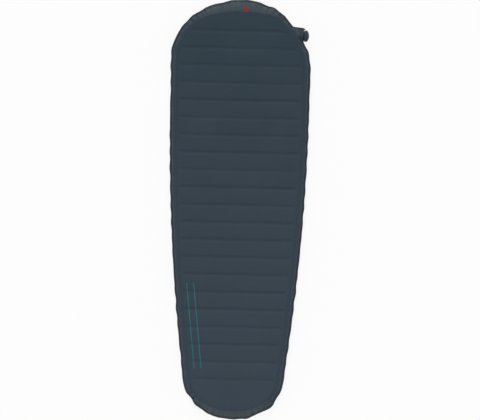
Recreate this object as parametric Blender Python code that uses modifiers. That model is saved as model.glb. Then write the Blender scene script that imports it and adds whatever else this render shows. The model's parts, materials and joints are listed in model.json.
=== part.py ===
"""Self-inflating sleeping pad.

Two coated fabric covers are welded along a flat rim over a slotted foam core. A screw valve sits in
an ear of the rim at the right shoulder. Seen from above the head points to +Y, the valve to +X.
The origin is on the floor, under the middle of the pad.
"""

import math
from collections import namedtuple

import bmesh
import bpy
from mathutils import Matrix, Vector

MM = 0.001

# Pad outline
PAD_LENGTH = 1830 * MM
PAD_WIDTH = 610 * MM
PAD_THICKNESS = 50 * MM
HEAD_DEPTH = 262 * MM        # length of the round head end
TAPER_FROM_HEAD = 437 * MM   # where the sides start to draw in
FOOT_WIDTH = 438 * MM        # across the start of the round foot end
FOOT_DEPTH = 165 * MM        # length of the round foot end

# Scoop in the right shoulder that leads to the valve's ear
SCOOP_DEPTH = 24 * MM
SCOOP_FROM_HEAD = 100 * MM
SCOOP_RUN_DOWN = 220 * MM

# Covers
FABRIC = 0.5 * MM
WELD_GAP = 0.3 * MM
RIM_WIDTH = 9 * MM           # flat welded rim
EDGE_ROLL = 30 * MM          # from the outline to the flat top, along the sides
HEAD_ROLL = 58 * MM          # the same at the head's tip
FOOT_ROLL = 40 * MM          # the same at the foot's tip
ROLL_LEAN_POWER = 6          # how close to a tip the roll starts to widen
ROLL_SPACING = 1.6           # crowds the roll's steps towards the rim
ROLL_FULLNESS = 0.75         # below 1 the roll rises steeply from the rim
CLEARANCE = 0.3 * MM         # between pieces that touch

# Channels across the pad, over the slots in the foam
GROOVE_FROM_HEAD = 140 * MM
GROOVE_PITCH = 75.9 * MM
GROOVE_WIDTH = 20 * MM
GROOVE_DEPTH = 3 * MM
GROOVE_RAIL = 9 * MM         # flat strip between a channel's end and the rolled edge
GROOVE_RUN_OUT = 18 * MM
GROOVE_FROM_FOOT = 165 * MM  # no channel is nearer to the foot's tip

# Foam core
SLOT_CLEARANCE = 0.6 * MM
FOAM_BEVEL_HEIGHT = 11 * MM
FOAM_BEVEL_REACH = 11 * MM
FOAM_SETBACK = 3 * MM        # from the start of the flat top

# Valve base
VALVE_FROM_HEAD = 151 * MM
EAR_PROJECTION = 18 * MM     # ear's end beyond the scooped outline
EAR_SHOULDER = 6 * MM        # from the boat's tip to the plain rim
BOAT_LENGTH = 64 * MM
BOAT_THICKNESS = 26 * MM
BOAT_DEPTH = 18 * MM
COLLAR_RADIUS = 17 * MM
COLLAR_THICKNESS = 1.4 * MM
NECK_RADIUS = 12.5 * MM
CORE_RADIUS = 12 * MM
SLEEVE_RADIUS = 10.5 * MM
SLEEVE_LENGTH = 6 * MM
BORE_RADIUS = 8.5 * MM
MOUTH_BORE_RADIUS = 7.6 * MM
BORE_STEP_DEPTH = 1 * MM     # shoulder in the bore, inside the ear's end

# Thread between neck and knob
THREAD_LEAD = 4 * MM
THREAD_RIDGE = 0.8 * MM
THREAD_CREST = 1.2 * MM      # height of a ridge above its wall
NECK_TURNS = 1.2
KNOB_TURNS = 0.75
OPENING_TURNS = 1.0

# Knob with its wiper ring and retainer
KNOB_RADIUS = 24.5 * MM
KNOB_WALL_CLEARANCE = 0.4 * MM
KNOB_END_WALL = 4.2 * MM
KNOB_DOME_RADIUS = 38 * MM   # of the sphere that the end is part of
KNOB_FACE_RADIUS = 7 * MM    # flat ring round the mouth
RIM_GAP = 0.5 * MM
MOUTH_RADIUS = 5.2 * MM
MOUTH_CHAMFER = 1.2 * MM
MOUTH_GAP = 0.6 * MM         # neck's mouth to the knob's end wall
FLUTE_COUNT = 20
FLUTE_RADIUS = 2.4 * MM
FLUTE_DEPTH = 1.2 * MM
RETAINER_THICKNESS = 1 * MM
RETAINER_RADIUS = 16.2 * MM
WIPER_RADIUS = 0.95 * MM     # radius of the ring's cord

# Pintle, its seal and the inlet screen
PINTLE_RADIUS = 2.6 * MM
PINTLE_HEAD_RADIUS = 4.6 * MM
PINTLE_SET_BACK = 0.4 * MM   # tip below the knob's face
PINTLE_LIP = 1 * MM
PINTLE_NECK = 1.5 * MM
SEAL_RADIUS = 0.9 * MM
SPIDER_LENGTH = 5 * MM
SPIDER_WALL = 1.8 * MM
SPIDER_ARM_WIDTH = 2.2 * MM
SPIDER_ARM_INSET = 0.5 * MM  # from the ring's two faces
SPIDER_ARMS = 3
SCREEN_THICKNESS = 1.2 * MM
SCREEN_INSET = 0.3 * MM
SCREEN_HOLE_RADIUS = 1.7 * MM
SCREEN_HOLE_CIRCLE = 5 * MM
SCREEN_HOLES = 6

# Facets
FOOT_STEPS = 10
SIDE_STEPS = 14
HEAD_STEPS = 12
BOAT_STEPS = 8
ROLL_STEPS = 3
ROUND_STEPS = 40
THREAD_STEPS = 24            # for each turn
RING_STEPS = 32
RING_SECTION_STEPS = 8
HOLE_STEPS = 10
DOME_STEPS = 4
CUT_PAST = 1 * MM            # how far a cutter passes the face it cuts
SLOPE_STEP = 1 * MM          # for the slope of the outline
MERGE = 0.01 * MM

# Places that follow from the sizes
HEAD_TIP = PAD_LENGTH / 2
FOOT_TIP = -PAD_LENGTH / 2
HEAD_CENTRE = HEAD_TIP - HEAD_DEPTH
FOOT_JOIN = FOOT_TIP + FOOT_DEPTH
TAPER_START = HEAD_TIP - TAPER_FROM_HEAD
MID_HEIGHT = PAD_THICKNESS / 2
RIM_HEIGHT = WELD_GAP / 2 + FABRIC
VALVE_Y = HEAD_TIP - VALVE_FROM_HEAD
KNOB_TRAVEL = THREAD_LEAD * OPENING_TURNS

# Foot ellipse that leaves the tapered side without a kink
FOOT_SLOPE = (PAD_WIDTH - FOOT_WIDTH) / (TAPER_START - FOOT_JOIN)
FOOT_LEAN = FOOT_SLOPE * FOOT_DEPTH / (FOOT_WIDTH / 2)
FOOT_OFFSET = FOOT_LEAN / (1 - FOOT_LEAN)
FOOT_AXIS_Y = FOOT_DEPTH / (1 - FOOT_OFFSET)
FOOT_AXIS_X = FOOT_WIDTH / 2 / math.sqrt(1 - FOOT_OFFSET ** 2)
FOOT_CENTRE = FOOT_TIP + FOOT_AXIS_Y

# Heights along the valve's axis, from the ear's end outwards
COLLAR_TOP = CLEARANCE + COLLAR_THICKNESS
KNOB_RIM = COLLAR_TOP + RIM_GAP
RETAINER_SEAT = KNOB_RIM + RETAINER_THICKNESS + CLEARANCE
WIPER_HEIGHT = RETAINER_SEAT + CLEARANCE + WIPER_RADIUS
WIPER_SEAT = WIPER_HEIGHT + WIPER_RADIUS + CLEARANCE
THREAD_START = WIPER_HEIGHT + WIPER_RADIUS + KNOB_TRAVEL + CLEARANCE + THREAD_RIDGE
NECK_END = THREAD_START + NECK_TURNS * THREAD_LEAD + THREAD_RIDGE + CLEARANCE
KNOB_CEILING = NECK_END + MOUTH_GAP
KNOB_END = KNOB_CEILING + KNOB_END_WALL
PINTLE_TIP = KNOB_END - PINTLE_SET_BACK
SEAL_TOP = PINTLE_TIP - PINTLE_LIP
SEAL_HEIGHT = SEAL_TOP - CLEARANCE - SEAL_RADIUS
SEAL_BOTTOM = SEAL_HEIGHT - SEAL_RADIUS - CLEARANCE
SLEEVE_END = -BOAT_DEPTH - SLEEVE_LENGTH
SPIDER_TOP = -BORE_STEP_DEPTH - CLEARANCE
SPIDER_BOTTOM = SPIDER_TOP - SPIDER_LENGTH

# Radii that fit each other
KNOB_BORE_RADIUS = NECK_RADIUS + THREAD_CREST + KNOB_WALL_CLEARANCE
WIPER_RING_RADIUS = NECK_RADIUS + CLEARANCE + WIPER_RADIUS
WIPER_SEAT_RADIUS = WIPER_RING_RADIUS + WIPER_RADIUS + CLEARANCE
SEAL_RING_RADIUS = MOUTH_RADIUS - CLEARANCE - SEAL_RADIUS
SEAL_SEAT_RADIUS = SEAL_RING_RADIUS - SEAL_RADIUS - CLEARANCE
INSERT_RADIUS = BORE_RADIUS - CLEARANCE

Station = namedtuple("Station", "edge normal roll lift on_ear")


# Scene, materials and small helpers

def clear_scene():
    for old in list(bpy.data.objects):
        bpy.data.objects.remove(old, do_unlink=True)


def make_collection(name):
    collection = bpy.data.collections.new(name)
    bpy.context.scene.collection.children.link(collection)
    return collection


def make_material(name, colour, roughness):
    material = bpy.data.materials.new(name)
    material.use_nodes = True
    shader = material.node_tree.nodes["Principled BSDF"]
    shader.inputs["Base Color"].default_value = (*colour, 1)
    shader.inputs["Roughness"].default_value = roughness
    shader.inputs["Metallic"].default_value = 0
    return material


def add_part(name, mesh, material, parent=None):
    part = bpy.data.objects.new(name, mesh)
    PARTS.objects.link(part)
    part.parent = parent
    if material:
        mesh.materials.append(material)
    return part


def add_cutter(name, mesh, parent=None):
    cutter = bpy.data.objects.new(name, mesh)
    CUTTERS.objects.link(cutter)
    cutter.parent = parent
    cutter.hide_render = True
    cutter.display_type = "WIRE"
    return cutter


def combine(part, tool, operation):
    boolean = part.modifiers.new(tool.name, "BOOLEAN")
    boolean.operation = operation
    boolean.object = tool


def profile_mesh(name, points):
    """Closed profile of (radius, height) points, outer side first and downwards."""
    mesh = bpy.data.meshes.new(name)
    vertices = [(radius, 0, height) for radius, height in points]
    edges = [(i, (i + 1) % len(points)) for i in range(len(points))]
    mesh.from_pydata(vertices, edges, [])
    return mesh


def turn(part, steps=ROUND_STEPS):
    screw = part.modifiers.new("turned", "SCREW")
    screw.axis = "Z"
    screw.angle = 2 * math.pi
    screw.steps = steps
    screw.render_steps = steps
    screw.use_merge_vertices = True
    screw.merge_threshold = MERGE
    screw.use_smooth_shade = True


def bmesh_to_mesh(bm, name):
    mesh = bpy.data.meshes.new(name)
    bm.to_mesh(mesh)
    bm.free()
    return mesh


def tube_profile(inner, outer, bottom, top):
    return [(outer, top), (outer, bottom), (inner, bottom), (inner, top)]


def ring_profile(ring_radius, cord_radius, height):
    """Round section of a rubber ring, outer side downwards."""
    points = []
    for i in range(RING_SECTION_STEPS):
        angle = math.pi / 2 - 2 * math.pi * i / RING_SECTION_STEPS
        radius = ring_radius + cord_radius * math.cos(angle)
        points.append((radius, height + cord_radius * math.sin(angle)))
    return points


# Outline of the pad

def half_width(y):
    """Half the width of the plain outline at y."""
    if y > HEAD_CENTRE:
        reach = (y - HEAD_CENTRE) / HEAD_DEPTH
        return PAD_WIDTH / 2 * math.sqrt(max(0, 1 - reach ** 2))
    if y < FOOT_JOIN:
        reach = (FOOT_CENTRE - y) / FOOT_AXIS_Y
        return FOOT_AXIS_X * math.sqrt(max(0, 1 - reach ** 2))
    taper = max(0, (TAPER_START - y) / (TAPER_START - FOOT_JOIN))
    return PAD_WIDTH / 2 - (PAD_WIDTH - FOOT_WIDTH) / 2 * taper ** 2


def scoop(y):
    """How far the right shoulder is drawn in at y."""
    centre = HEAD_TIP - SCOOP_FROM_HEAD
    run = SCOOP_FROM_HEAD if y > centre else SCOOP_RUN_DOWN
    share = min(1, abs(y - centre) / run)
    return SCOOP_DEPTH * math.cos(math.pi / 2 * share) ** 2


def edge_x(y, side):
    """X of the outline at y, on the right (1) or the left (-1)."""
    if side < 0:
        return -half_width(y)
    return half_width(y) - scoop(y)


EAR_END = edge_x(VALVE_Y, 1) + EAR_PROJECTION


def boat_lift(offset):
    """Half the boat's thickness at a distance from the valve's axis, along the rim."""
    share = min(1, abs(offset) / (BOAT_LENGTH / 2))
    return BOAT_THICKNESS / 2 * math.cos(math.pi / 2 * share) ** 2


def boat_offsets():
    return [BOAT_LENGTH * (i / BOAT_STEPS - 0.5) for i in range(BOAT_STEPS + 1)]


def plain_heights():
    """Y of the outline's points from the foot's tip to the head's tip."""
    heights = []
    foot_end = math.acos(FOOT_OFFSET)
    for i in range(FOOT_STEPS):
        heights.append(FOOT_CENTRE - FOOT_AXIS_Y * math.cos(foot_end * i / FOOT_STEPS))
    for i in range(SIDE_STEPS):
        heights.append(FOOT_JOIN + (HEAD_CENTRE - FOOT_JOIN) * i / SIDE_STEPS)
    for i in range(HEAD_STEPS):
        heights.append(HEAD_CENTRE + HEAD_DEPTH * math.sin(math.pi / 2 * i / HEAD_STEPS))
    return heights


def outline_points():
    """Outline, counterclockwise from the foot's tip, as (x, y, offset along the boat or None)."""
    ear_reach = BOAT_LENGTH / 2 + EAR_SHOULDER
    ear_spread = ear_reach + EAR_SHOULDER
    right = [(y, None) for y in plain_heights() if abs(y - VALVE_Y) > ear_spread]
    right += [(VALVE_Y + offset, offset) for offset in boat_offsets()]
    right += [(VALVE_Y - ear_reach, None), (VALVE_Y + ear_reach, None)]
    points = [(edge_x(y, 1), y, offset) for y, offset in sorted(right)]
    points[0] = (0, FOOT_TIP, None)
    points.append((0, HEAD_TIP, None))
    points += [(edge_x(y, -1), y, None) for y in reversed(plain_heights()[1:])]
    return points


def make_stations():
    points = outline_points()
    stations = []
    for i, (x, y, offset) in enumerate(points):
        before = Vector(points[i - 1][:2])
        after = Vector(points[(i + 1) % len(points)][:2])
        along = (after - before).normalized()
        normal = Vector((along.y, -along.x))
        lift = 0 if offset is None else boat_lift(offset) + CLEARANCE
        stations.append(Station(Vector((x, y)), normal, roll_width(normal.y), lift, offset is not None))
    return stations


def roll_width(lean):
    """Width of the rolled edge where the outline's normal leans towards head (1) or foot (-1)."""
    end_roll = HEAD_ROLL if lean > 0 else FOOT_ROLL
    return EDGE_ROLL + (end_roll - EDGE_ROLL) * lean ** ROLL_LEAN_POWER


def inset_point(station, distance):
    return station.edge - station.normal * distance


# Channels and slots

def groove_heights():
    first = HEAD_TIP - GROOVE_FROM_HEAD
    room = PAD_LENGTH - GROOVE_FROM_HEAD - GROOVE_FROM_FOOT
    return [first - GROOVE_PITCH * i for i in range(int(room / GROOVE_PITCH) + 1)]


def groove_end(y, side, run_in):
    """X at a distance from where a channel ends, on one side."""
    slope = (edge_x(y + SLOPE_STEP, side) - edge_x(y - SLOPE_STEP, side)) / (2 * SLOPE_STEP)
    length = math.hypot(1, slope)
    roll = roll_width(-side * slope / length)
    return edge_x(y, side) - side * ((roll + GROOVE_RAIL) * length + run_in)


def groove_loop(y, grow):
    """Six-sided outline of a channel, counterclockwise, grown by a clearance."""
    half = GROOVE_WIDTH / 2 + grow
    tip_left = groove_end(y, -1, -2 * grow)
    tip_right = groove_end(y, 1, -2 * grow)
    run_left = groove_end(y, -1, GROOVE_RUN_OUT)
    run_right = groove_end(y, 1, GROOVE_RUN_OUT)
    return [
        (tip_left, y),
        (run_left, y - half),
        (run_right, y - half),
        (tip_right, y),
        (run_right, y + half),
        (run_left, y + half),
    ]


# Mesh pieces that both covers and the foam use

def add_ring(bm, points, height):
    return [bm.verts.new((x, y, height)) for x, y in points]


def bridge(bm, outer, inner):
    count = len(outer)
    for i in range(count):
        j = (i + 1) % count
        bm.faces.new((outer[i], outer[j], inner[j], inner[i]))


def loop_edges(bm, loop):
    edges = []
    for i, vertex in enumerate(loop):
        pair = (loop[i - 1], vertex)
        edges.append(bm.edges.get(pair) or bm.edges.new(pair))
    return edges


def fill_flat(bm, outer, holes):
    edges = loop_edges(bm, outer)
    for hole in holes:
        edges += loop_edges(bm, hole)
    bmesh.ops.triangle_fill(bm, edges=edges, use_beauty=True)


# Covers

def rim_rings(stations, side):
    """Rings of a cover from the outline to the flat top, as lists of points in space."""
    rings = []
    for distance in (0, RIM_WIDTH):
        ring = []
        for station in stations:
            point = inset_point(station, distance)
            if station.on_ear:
                ear_x = EAR_END - (BOAT_DEPTH if distance else 0)
                point = Vector((max(ear_x, point.x), station.edge.y))
            ring.append((*point, MID_HEIGHT + side * (RIM_HEIGHT + station.lift)))
        rings.append(ring)
    for i in range(1, ROLL_STEPS + 1):
        share = (i / ROLL_STEPS) ** ROLL_SPACING
        swell = math.sin(math.pi / 2 * share ** ROLL_FULLNESS)
        ring = []
        for station in stations:
            point = inset_point(station, RIM_WIDTH + (station.roll - RIM_WIDTH) * share)
            low = RIM_HEIGHT + station.lift
            ring.append((*point, MID_HEIGHT + side * (low + (MID_HEIGHT - low) * swell)))
        rings.append(ring)
    return rings


def add_channel(bm, y, side):
    """One channel pressed into a cover. Returns its outline."""
    top = MID_HEIGHT + side * MID_HEIGHT
    loop = add_ring(bm, groove_loop(y, 0), top)
    tip_left, low_left, low_right, tip_right, high_right, high_left = loop
    floor = top - side * GROOVE_DEPTH
    floor_left = bm.verts.new((low_left.co.x, y, floor))
    floor_right = bm.verts.new((low_right.co.x, y, floor))
    bm.faces.new((low_left, low_right, floor_right, floor_left))
    bm.faces.new((floor_left, floor_right, high_right, high_left))
    bm.faces.new((tip_left, low_left, floor_left))
    bm.faces.new((tip_left, floor_left, high_left))
    bm.faces.new((tip_right, floor_right, low_right))
    bm.faces.new((tip_right, high_right, floor_right))
    return loop


def make_cover(name, side, material):
    """Fabric cover: upper with side 1, lower with side -1."""
    bm = bmesh.new()
    rings = [[bm.verts.new(point) for point in ring] for ring in rim_rings(make_stations(), side)]
    for outer, inner in zip(rings, rings[1:]):
        bridge(bm, outer, inner)
    channels = [add_channel(bm, y, side) for y in groove_heights()]
    fill_flat(bm, rings[-1], channels)
    bmesh.ops.recalc_face_normals(bm, faces=bm.faces)
    flat = max(bm.faces, key=lambda face: face.calc_area())
    if flat.normal.z * side < 0:
        bmesh.ops.reverse_faces(bm, faces=bm.faces)
    cover = add_part(name, bmesh_to_mesh(bm, name), material)
    thickness = cover.modifiers.new("fabric", "SOLIDIFY")
    thickness.thickness = FABRIC
    thickness.offset = -1
    thickness.use_even_offset = True
    return cover


# Foam core

def make_foam(material):
    stations = make_stations()
    half = MID_HEIGHT - FABRIC - CLEARANCE
    faces = [inset_point(station, station.roll + FOAM_SETBACK) for station in stations]
    waist = [inset_point(station, station.roll + FOAM_SETBACK - FOAM_BEVEL_REACH) for station in stations]
    low = half - FOAM_BEVEL_HEIGHT
    bm = bmesh.new()
    top = add_ring(bm, faces, MID_HEIGHT + half)
    upper = add_ring(bm, waist, MID_HEIGHT + low)
    lower = add_ring(bm, waist, MID_HEIGHT - low)
    bottom = add_ring(bm, faces, MID_HEIGHT - half)
    for outer, inner in zip((top, upper, lower), (upper, lower, bottom)):
        bridge(bm, outer, inner)
    slots = [groove_loop(y, SLOT_CLEARANCE) for y in groove_heights()]
    top_slots = [add_ring(bm, slot, MID_HEIGHT + half) for slot in slots]
    bottom_slots = [add_ring(bm, slot, MID_HEIGHT - half) for slot in slots]
    for high, deep in zip(top_slots, bottom_slots):
        bridge(bm, high, deep)
    fill_flat(bm, top, top_slots)
    fill_flat(bm, bottom, bottom_slots)
    bmesh.ops.recalc_face_normals(bm, faces=bm.faces)
    return add_part("foam_core", bmesh_to_mesh(bm, "foam_core"), material)


# Valve, modelled along its own Z axis and turned to +X by the empty that carries it

def make_valve_axis():
    axis = bpy.data.objects.new("valve_axis", None)
    PARTS.objects.link(axis)
    turn_to_x = Matrix(((0, 0, 1), (1, 0, 0), (0, 1, 0))).to_4x4()
    axis.matrix_world = Matrix.Translation((EAR_END, VALVE_Y, MID_HEIGHT)) @ turn_to_x
    return axis


def thread_ridge(name, radius, turns, phase, axis):
    """Helical ridge whose middle line starts at THREAD_START."""
    curve = bpy.data.curves.new(name, "CURVE")
    curve.dimensions = "3D"
    curve.twist_mode = "Z_UP"
    curve.bevel_depth = THREAD_RIDGE
    curve.bevel_resolution = 0
    curve.use_fill_caps = True
    spline = curve.splines.new("POLY")
    count = round(turns * THREAD_STEPS)
    spline.points.add(count)
    for i, point in enumerate(spline.points):
        angle = phase + 2 * math.pi * i / THREAD_STEPS
        height = THREAD_START + THREAD_LEAD * i / THREAD_STEPS
        point.co = (radius * math.cos(angle), radius * math.sin(angle), height, 1)
    guide = bpy.data.objects.new(name, curve)
    CUTTERS.objects.link(guide)
    depsgraph = bpy.context.evaluated_depsgraph_get()
    mesh = bpy.data.meshes.new_from_object(guide.evaluated_get(depsgraph))
    bpy.data.objects.remove(guide)
    bm = bmesh.new()
    bm.from_mesh(mesh)
    bmesh.ops.remove_doubles(bm, verts=bm.verts, dist=MERGE)
    bmesh.ops.recalc_face_normals(bm, faces=bm.faces)
    bm.to_mesh(mesh)
    bm.free()
    return add_cutter(name, mesh, axis)


def boat_mesh():
    """Lens-shaped weld base, extruded along the valve's axis."""
    offsets = boat_offsets()
    section = [(offset, -boat_lift(offset)) for offset in offsets]
    section += [(offset, boat_lift(offset)) for offset in offsets[-2:0:-1]]
    bm = bmesh.new()
    face = bm.faces.new([bm.verts.new((x, y, -BOAT_DEPTH)) for x, y in section])
    wall = bmesh.ops.extrude_face_region(bm, geom=[face])
    raised = [item for item in wall["geom"] if isinstance(item, bmesh.types.BMVert)]
    bmesh.ops.translate(bm, verts=raised, vec=(0, 0, BOAT_DEPTH))
    bmesh.ops.recalc_face_normals(bm, faces=bm.faces)
    return bmesh_to_mesh(bm, "boat")


def make_valve_base(axis, material):
    core = [
        (0, NECK_END),
        (NECK_RADIUS, NECK_END),
        (NECK_RADIUS, COLLAR_TOP),
        (COLLAR_RADIUS, COLLAR_TOP),
        (COLLAR_RADIUS, CLEARANCE),
        (CORE_RADIUS, CLEARANCE),
        (CORE_RADIUS, -BOAT_DEPTH / 2),
        (SLEEVE_RADIUS, -BOAT_DEPTH / 2),
        (SLEEVE_RADIUS, SLEEVE_END),
        (0, SLEEVE_END),
    ]
    base = add_part("valve_base", open_profile("valve_base", core), material, axis)
    turn(base)
    combine(base, add_cutter("boat", boat_mesh(), axis), "UNION")
    ridge_radius = NECK_RADIUS + THREAD_CREST - THREAD_RIDGE
    combine(base, thread_ridge("neck_thread", ridge_radius, NECK_TURNS, 0, axis), "UNION")
    bore = [
        (0, NECK_END + CUT_PAST),
        (MOUTH_BORE_RADIUS, NECK_END + CUT_PAST),
        (MOUTH_BORE_RADIUS, -BORE_STEP_DEPTH),
        (BORE_RADIUS, -BORE_STEP_DEPTH),
        (BORE_RADIUS, SLEEVE_END - CUT_PAST),
        (0, SLEEVE_END - CUT_PAST),
    ]
    cutter = add_cutter("bore", open_profile("bore", bore), axis)
    turn(cutter)
    combine(base, cutter, "DIFFERENCE")
    return base


def open_profile(name, points):
    """Profile that starts and ends on the axis."""
    mesh = bpy.data.meshes.new(name)
    vertices = [(radius, 0, height) for radius, height in points]
    mesh.from_pydata(vertices, [(i, i + 1) for i in range(len(points) - 1)], [])
    return mesh


def make_inlet_screen(axis, material):
    bottom = SLEEVE_END + SCREEN_INSET
    top = bottom + SCREEN_THICKNESS
    disc = [(0, top), (INSERT_RADIUS, top), (INSERT_RADIUS, bottom), (0, bottom)]
    screen = add_part("inlet_screen", open_profile("inlet_screen", disc), material, axis)
    turn(screen)
    places = [(0, 0)]
    for i in range(SCREEN_HOLES):
        angle = 2 * math.pi * i / SCREEN_HOLES
        places.append((SCREEN_HOLE_CIRCLE * math.cos(angle), SCREEN_HOLE_CIRCLE * math.sin(angle)))
    holes = posts("screen_holes", places, SCREEN_HOLE_RADIUS, bottom - CUT_PAST, top + CUT_PAST)
    combine(screen, add_cutter("screen_holes", holes, axis), "DIFFERENCE")
    return screen


def posts(name, places, radius, bottom, top):
    """Upright round posts at several places, in one mesh."""
    bm = bmesh.new()
    for x, y in places:
        middle = Matrix.Translation((x, y, (bottom + top) / 2))
        bmesh.ops.create_cone(
            bm, cap_ends=True, segments=HOLE_STEPS, radius1=radius, radius2=radius,
            depth=top - bottom, matrix=middle)
    return bmesh_to_mesh(bm, name)


def make_pintle(axis, material):
    pin = [
        (0, PINTLE_TIP),
        (PINTLE_HEAD_RADIUS, PINTLE_TIP),
        (PINTLE_HEAD_RADIUS, SEAL_TOP),
        (SEAL_SEAT_RADIUS, SEAL_TOP),
        (SEAL_SEAT_RADIUS, SEAL_BOTTOM),
        (PINTLE_HEAD_RADIUS, SEAL_BOTTOM),
        (PINTLE_HEAD_RADIUS, SEAL_BOTTOM - PINTLE_NECK),
        (PINTLE_RADIUS, SEAL_BOTTOM - 2 * PINTLE_NECK),
        (PINTLE_RADIUS, SPIDER_BOTTOM),
        (0, SPIDER_BOTTOM),
    ]
    pintle = add_part("valve_pintle", open_profile("valve_pintle", pin), material, axis)
    turn(pintle, RING_STEPS)
    ring = tube_profile(INSERT_RADIUS - SPIDER_WALL, INSERT_RADIUS, SPIDER_BOTTOM, SPIDER_TOP)
    hoop = add_cutter("spider_ring", profile_mesh("spider_ring", ring), axis)
    turn(hoop)
    combine(pintle, add_cutter("spider_arms", spider_arms_mesh(), axis), "UNION")
    combine(pintle, hoop, "UNION")
    return pintle


def spider_arms_mesh():
    """Arms from inside the pin to the middle of the ring's wall."""
    reach = INSERT_RADIUS - SPIDER_WALL / 2
    start = PINTLE_RADIUS / 2
    size = (reach - start, SPIDER_ARM_WIDTH, SPIDER_LENGTH - 2 * SPIDER_ARM_INSET)
    bm = bmesh.new()
    for i in range(SPIDER_ARMS):
        place = Matrix.Rotation(2 * math.pi * i / SPIDER_ARMS, 4, "Z")
        place @= Matrix.Translation(((start + reach) / 2, 0, (SPIDER_BOTTOM + SPIDER_TOP) / 2))
        place @= Matrix.Diagonal((*size, 1))
        bmesh.ops.create_cube(bm, size=1, matrix=place)
    return bmesh_to_mesh(bm, "spider_arms")


def make_knob(axis, material):
    outside = [(MOUTH_RADIUS + MOUTH_CHAMFER, KNOB_END)]
    dome_centre = KNOB_END - math.sqrt(KNOB_DOME_RADIUS ** 2 - KNOB_FACE_RADIUS ** 2)
    for i in range(DOME_STEPS + 1):
        radius = KNOB_FACE_RADIUS + (KNOB_RADIUS - KNOB_FACE_RADIUS) * i / DOME_STEPS
        outside.append((radius, dome_centre + math.sqrt(KNOB_DOME_RADIUS ** 2 - radius ** 2)))
    outside.append((KNOB_RADIUS, KNOB_RIM))
    inside = [
        (RETAINER_RADIUS + CLEARANCE, KNOB_RIM),
        (RETAINER_RADIUS + CLEARANCE, RETAINER_SEAT),
        (WIPER_SEAT_RADIUS, RETAINER_SEAT),
        (WIPER_SEAT_RADIUS, WIPER_SEAT),
        (KNOB_BORE_RADIUS, WIPER_SEAT),
        (KNOB_BORE_RADIUS, KNOB_CEILING),
        (MOUTH_RADIUS, KNOB_CEILING),
        (MOUTH_RADIUS, KNOB_END - MOUTH_CHAMFER),
    ]
    knob = add_part("valve_knob", profile_mesh("valve_knob", outside + inside), material, axis)
    turn(knob)
    ridge_radius = KNOB_BORE_RADIUS - THREAD_CREST + THREAD_RIDGE
    ridge = thread_ridge("knob_thread", ridge_radius, KNOB_TURNS, math.pi, axis)
    combine(knob, ridge, "UNION")
    circle = KNOB_RADIUS - FLUTE_DEPTH + FLUTE_RADIUS
    places = []
    for i in range(FLUTE_COUNT):
        angle = 2 * math.pi * i / FLUTE_COUNT
        places.append((circle * math.cos(angle), circle * math.sin(angle)))
    flutes = posts("knob_flutes", places, FLUTE_RADIUS, KNOB_RIM - CUT_PAST, KNOB_END + CUT_PAST)
    combine(knob, add_cutter("knob_flutes", flutes, axis), "DIFFERENCE")
    return knob


def make_ring(name, ring_radius, cord_radius, height, axis, material):
    profile = ring_profile(ring_radius, cord_radius, height)
    ring = add_part(name, profile_mesh(name, profile), material, axis)
    turn(ring, RING_STEPS)
    return ring


def make_retainer(axis, material):
    top = KNOB_RIM + RETAINER_THICKNESS
    profile = tube_profile(NECK_RADIUS + CLEARANCE, RETAINER_RADIUS, KNOB_RIM, top)
    retainer = add_part("wiper_retainer", profile_mesh("wiper_retainer", profile), material, axis)
    turn(retainer)
    return retainer


def build():
    upper_fabric = make_material("upper_fabric", (0.040, 0.055, 0.070), 0.85)
    lower_fabric = make_material("lower_fabric", (0.024, 0.026, 0.029), 0.85)
    foam = make_material("foam", (0.62, 0.60, 0.53), 0.95)
    black_plastic = make_material("black_plastic", (0.016, 0.015, 0.016), 0.45)
    grey_plastic = make_material("grey_plastic", (0.10, 0.10, 0.105), 0.5)
    rubber = make_material("rubber", (0.011, 0.011, 0.011), 0.7)
    make_cover("upper_cover", 1, upper_fabric)
    make_cover("lower_cover", -1, lower_fabric)
    make_foam(foam)
    axis = make_valve_axis()
    make_valve_base(axis, black_plastic)
    make_inlet_screen(axis, grey_plastic)
    make_pintle(axis, grey_plastic)
    make_ring("pintle_seal", SEAL_RING_RADIUS, SEAL_RADIUS, SEAL_HEIGHT, axis, rubber)
    make_knob(axis, black_plastic)
    make_ring("neck_wiper", WIPER_RING_RADIUS, WIPER_RADIUS, WIPER_HEIGHT, axis, rubber)
    make_retainer(axis, grey_plastic)


clear_scene()
PARTS = make_collection("sleeping_pad")
CUTTERS = make_collection("sleeping_pad_cutters")
build()
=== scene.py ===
"""Looks of a self-inflating sleeping pad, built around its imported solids.

Two woven covers are cut flat, rolled over the edge of a slotted foam core and welded together at a
rim. A cloth simulation settles the folds of that edge under air pressure. The valve's outside is finer
than its solid.
Lengths are in metres, with +Y towards the head end and +X towards the valve's side.
"""

import json
import math
from types import SimpleNamespace

import bmesh
import bpy
import numpy as np
from mathutils import Matrix, Vector
from mathutils.geometry import delaunay_2d_cdt
from mathutils.kdtree import KDTree


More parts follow.
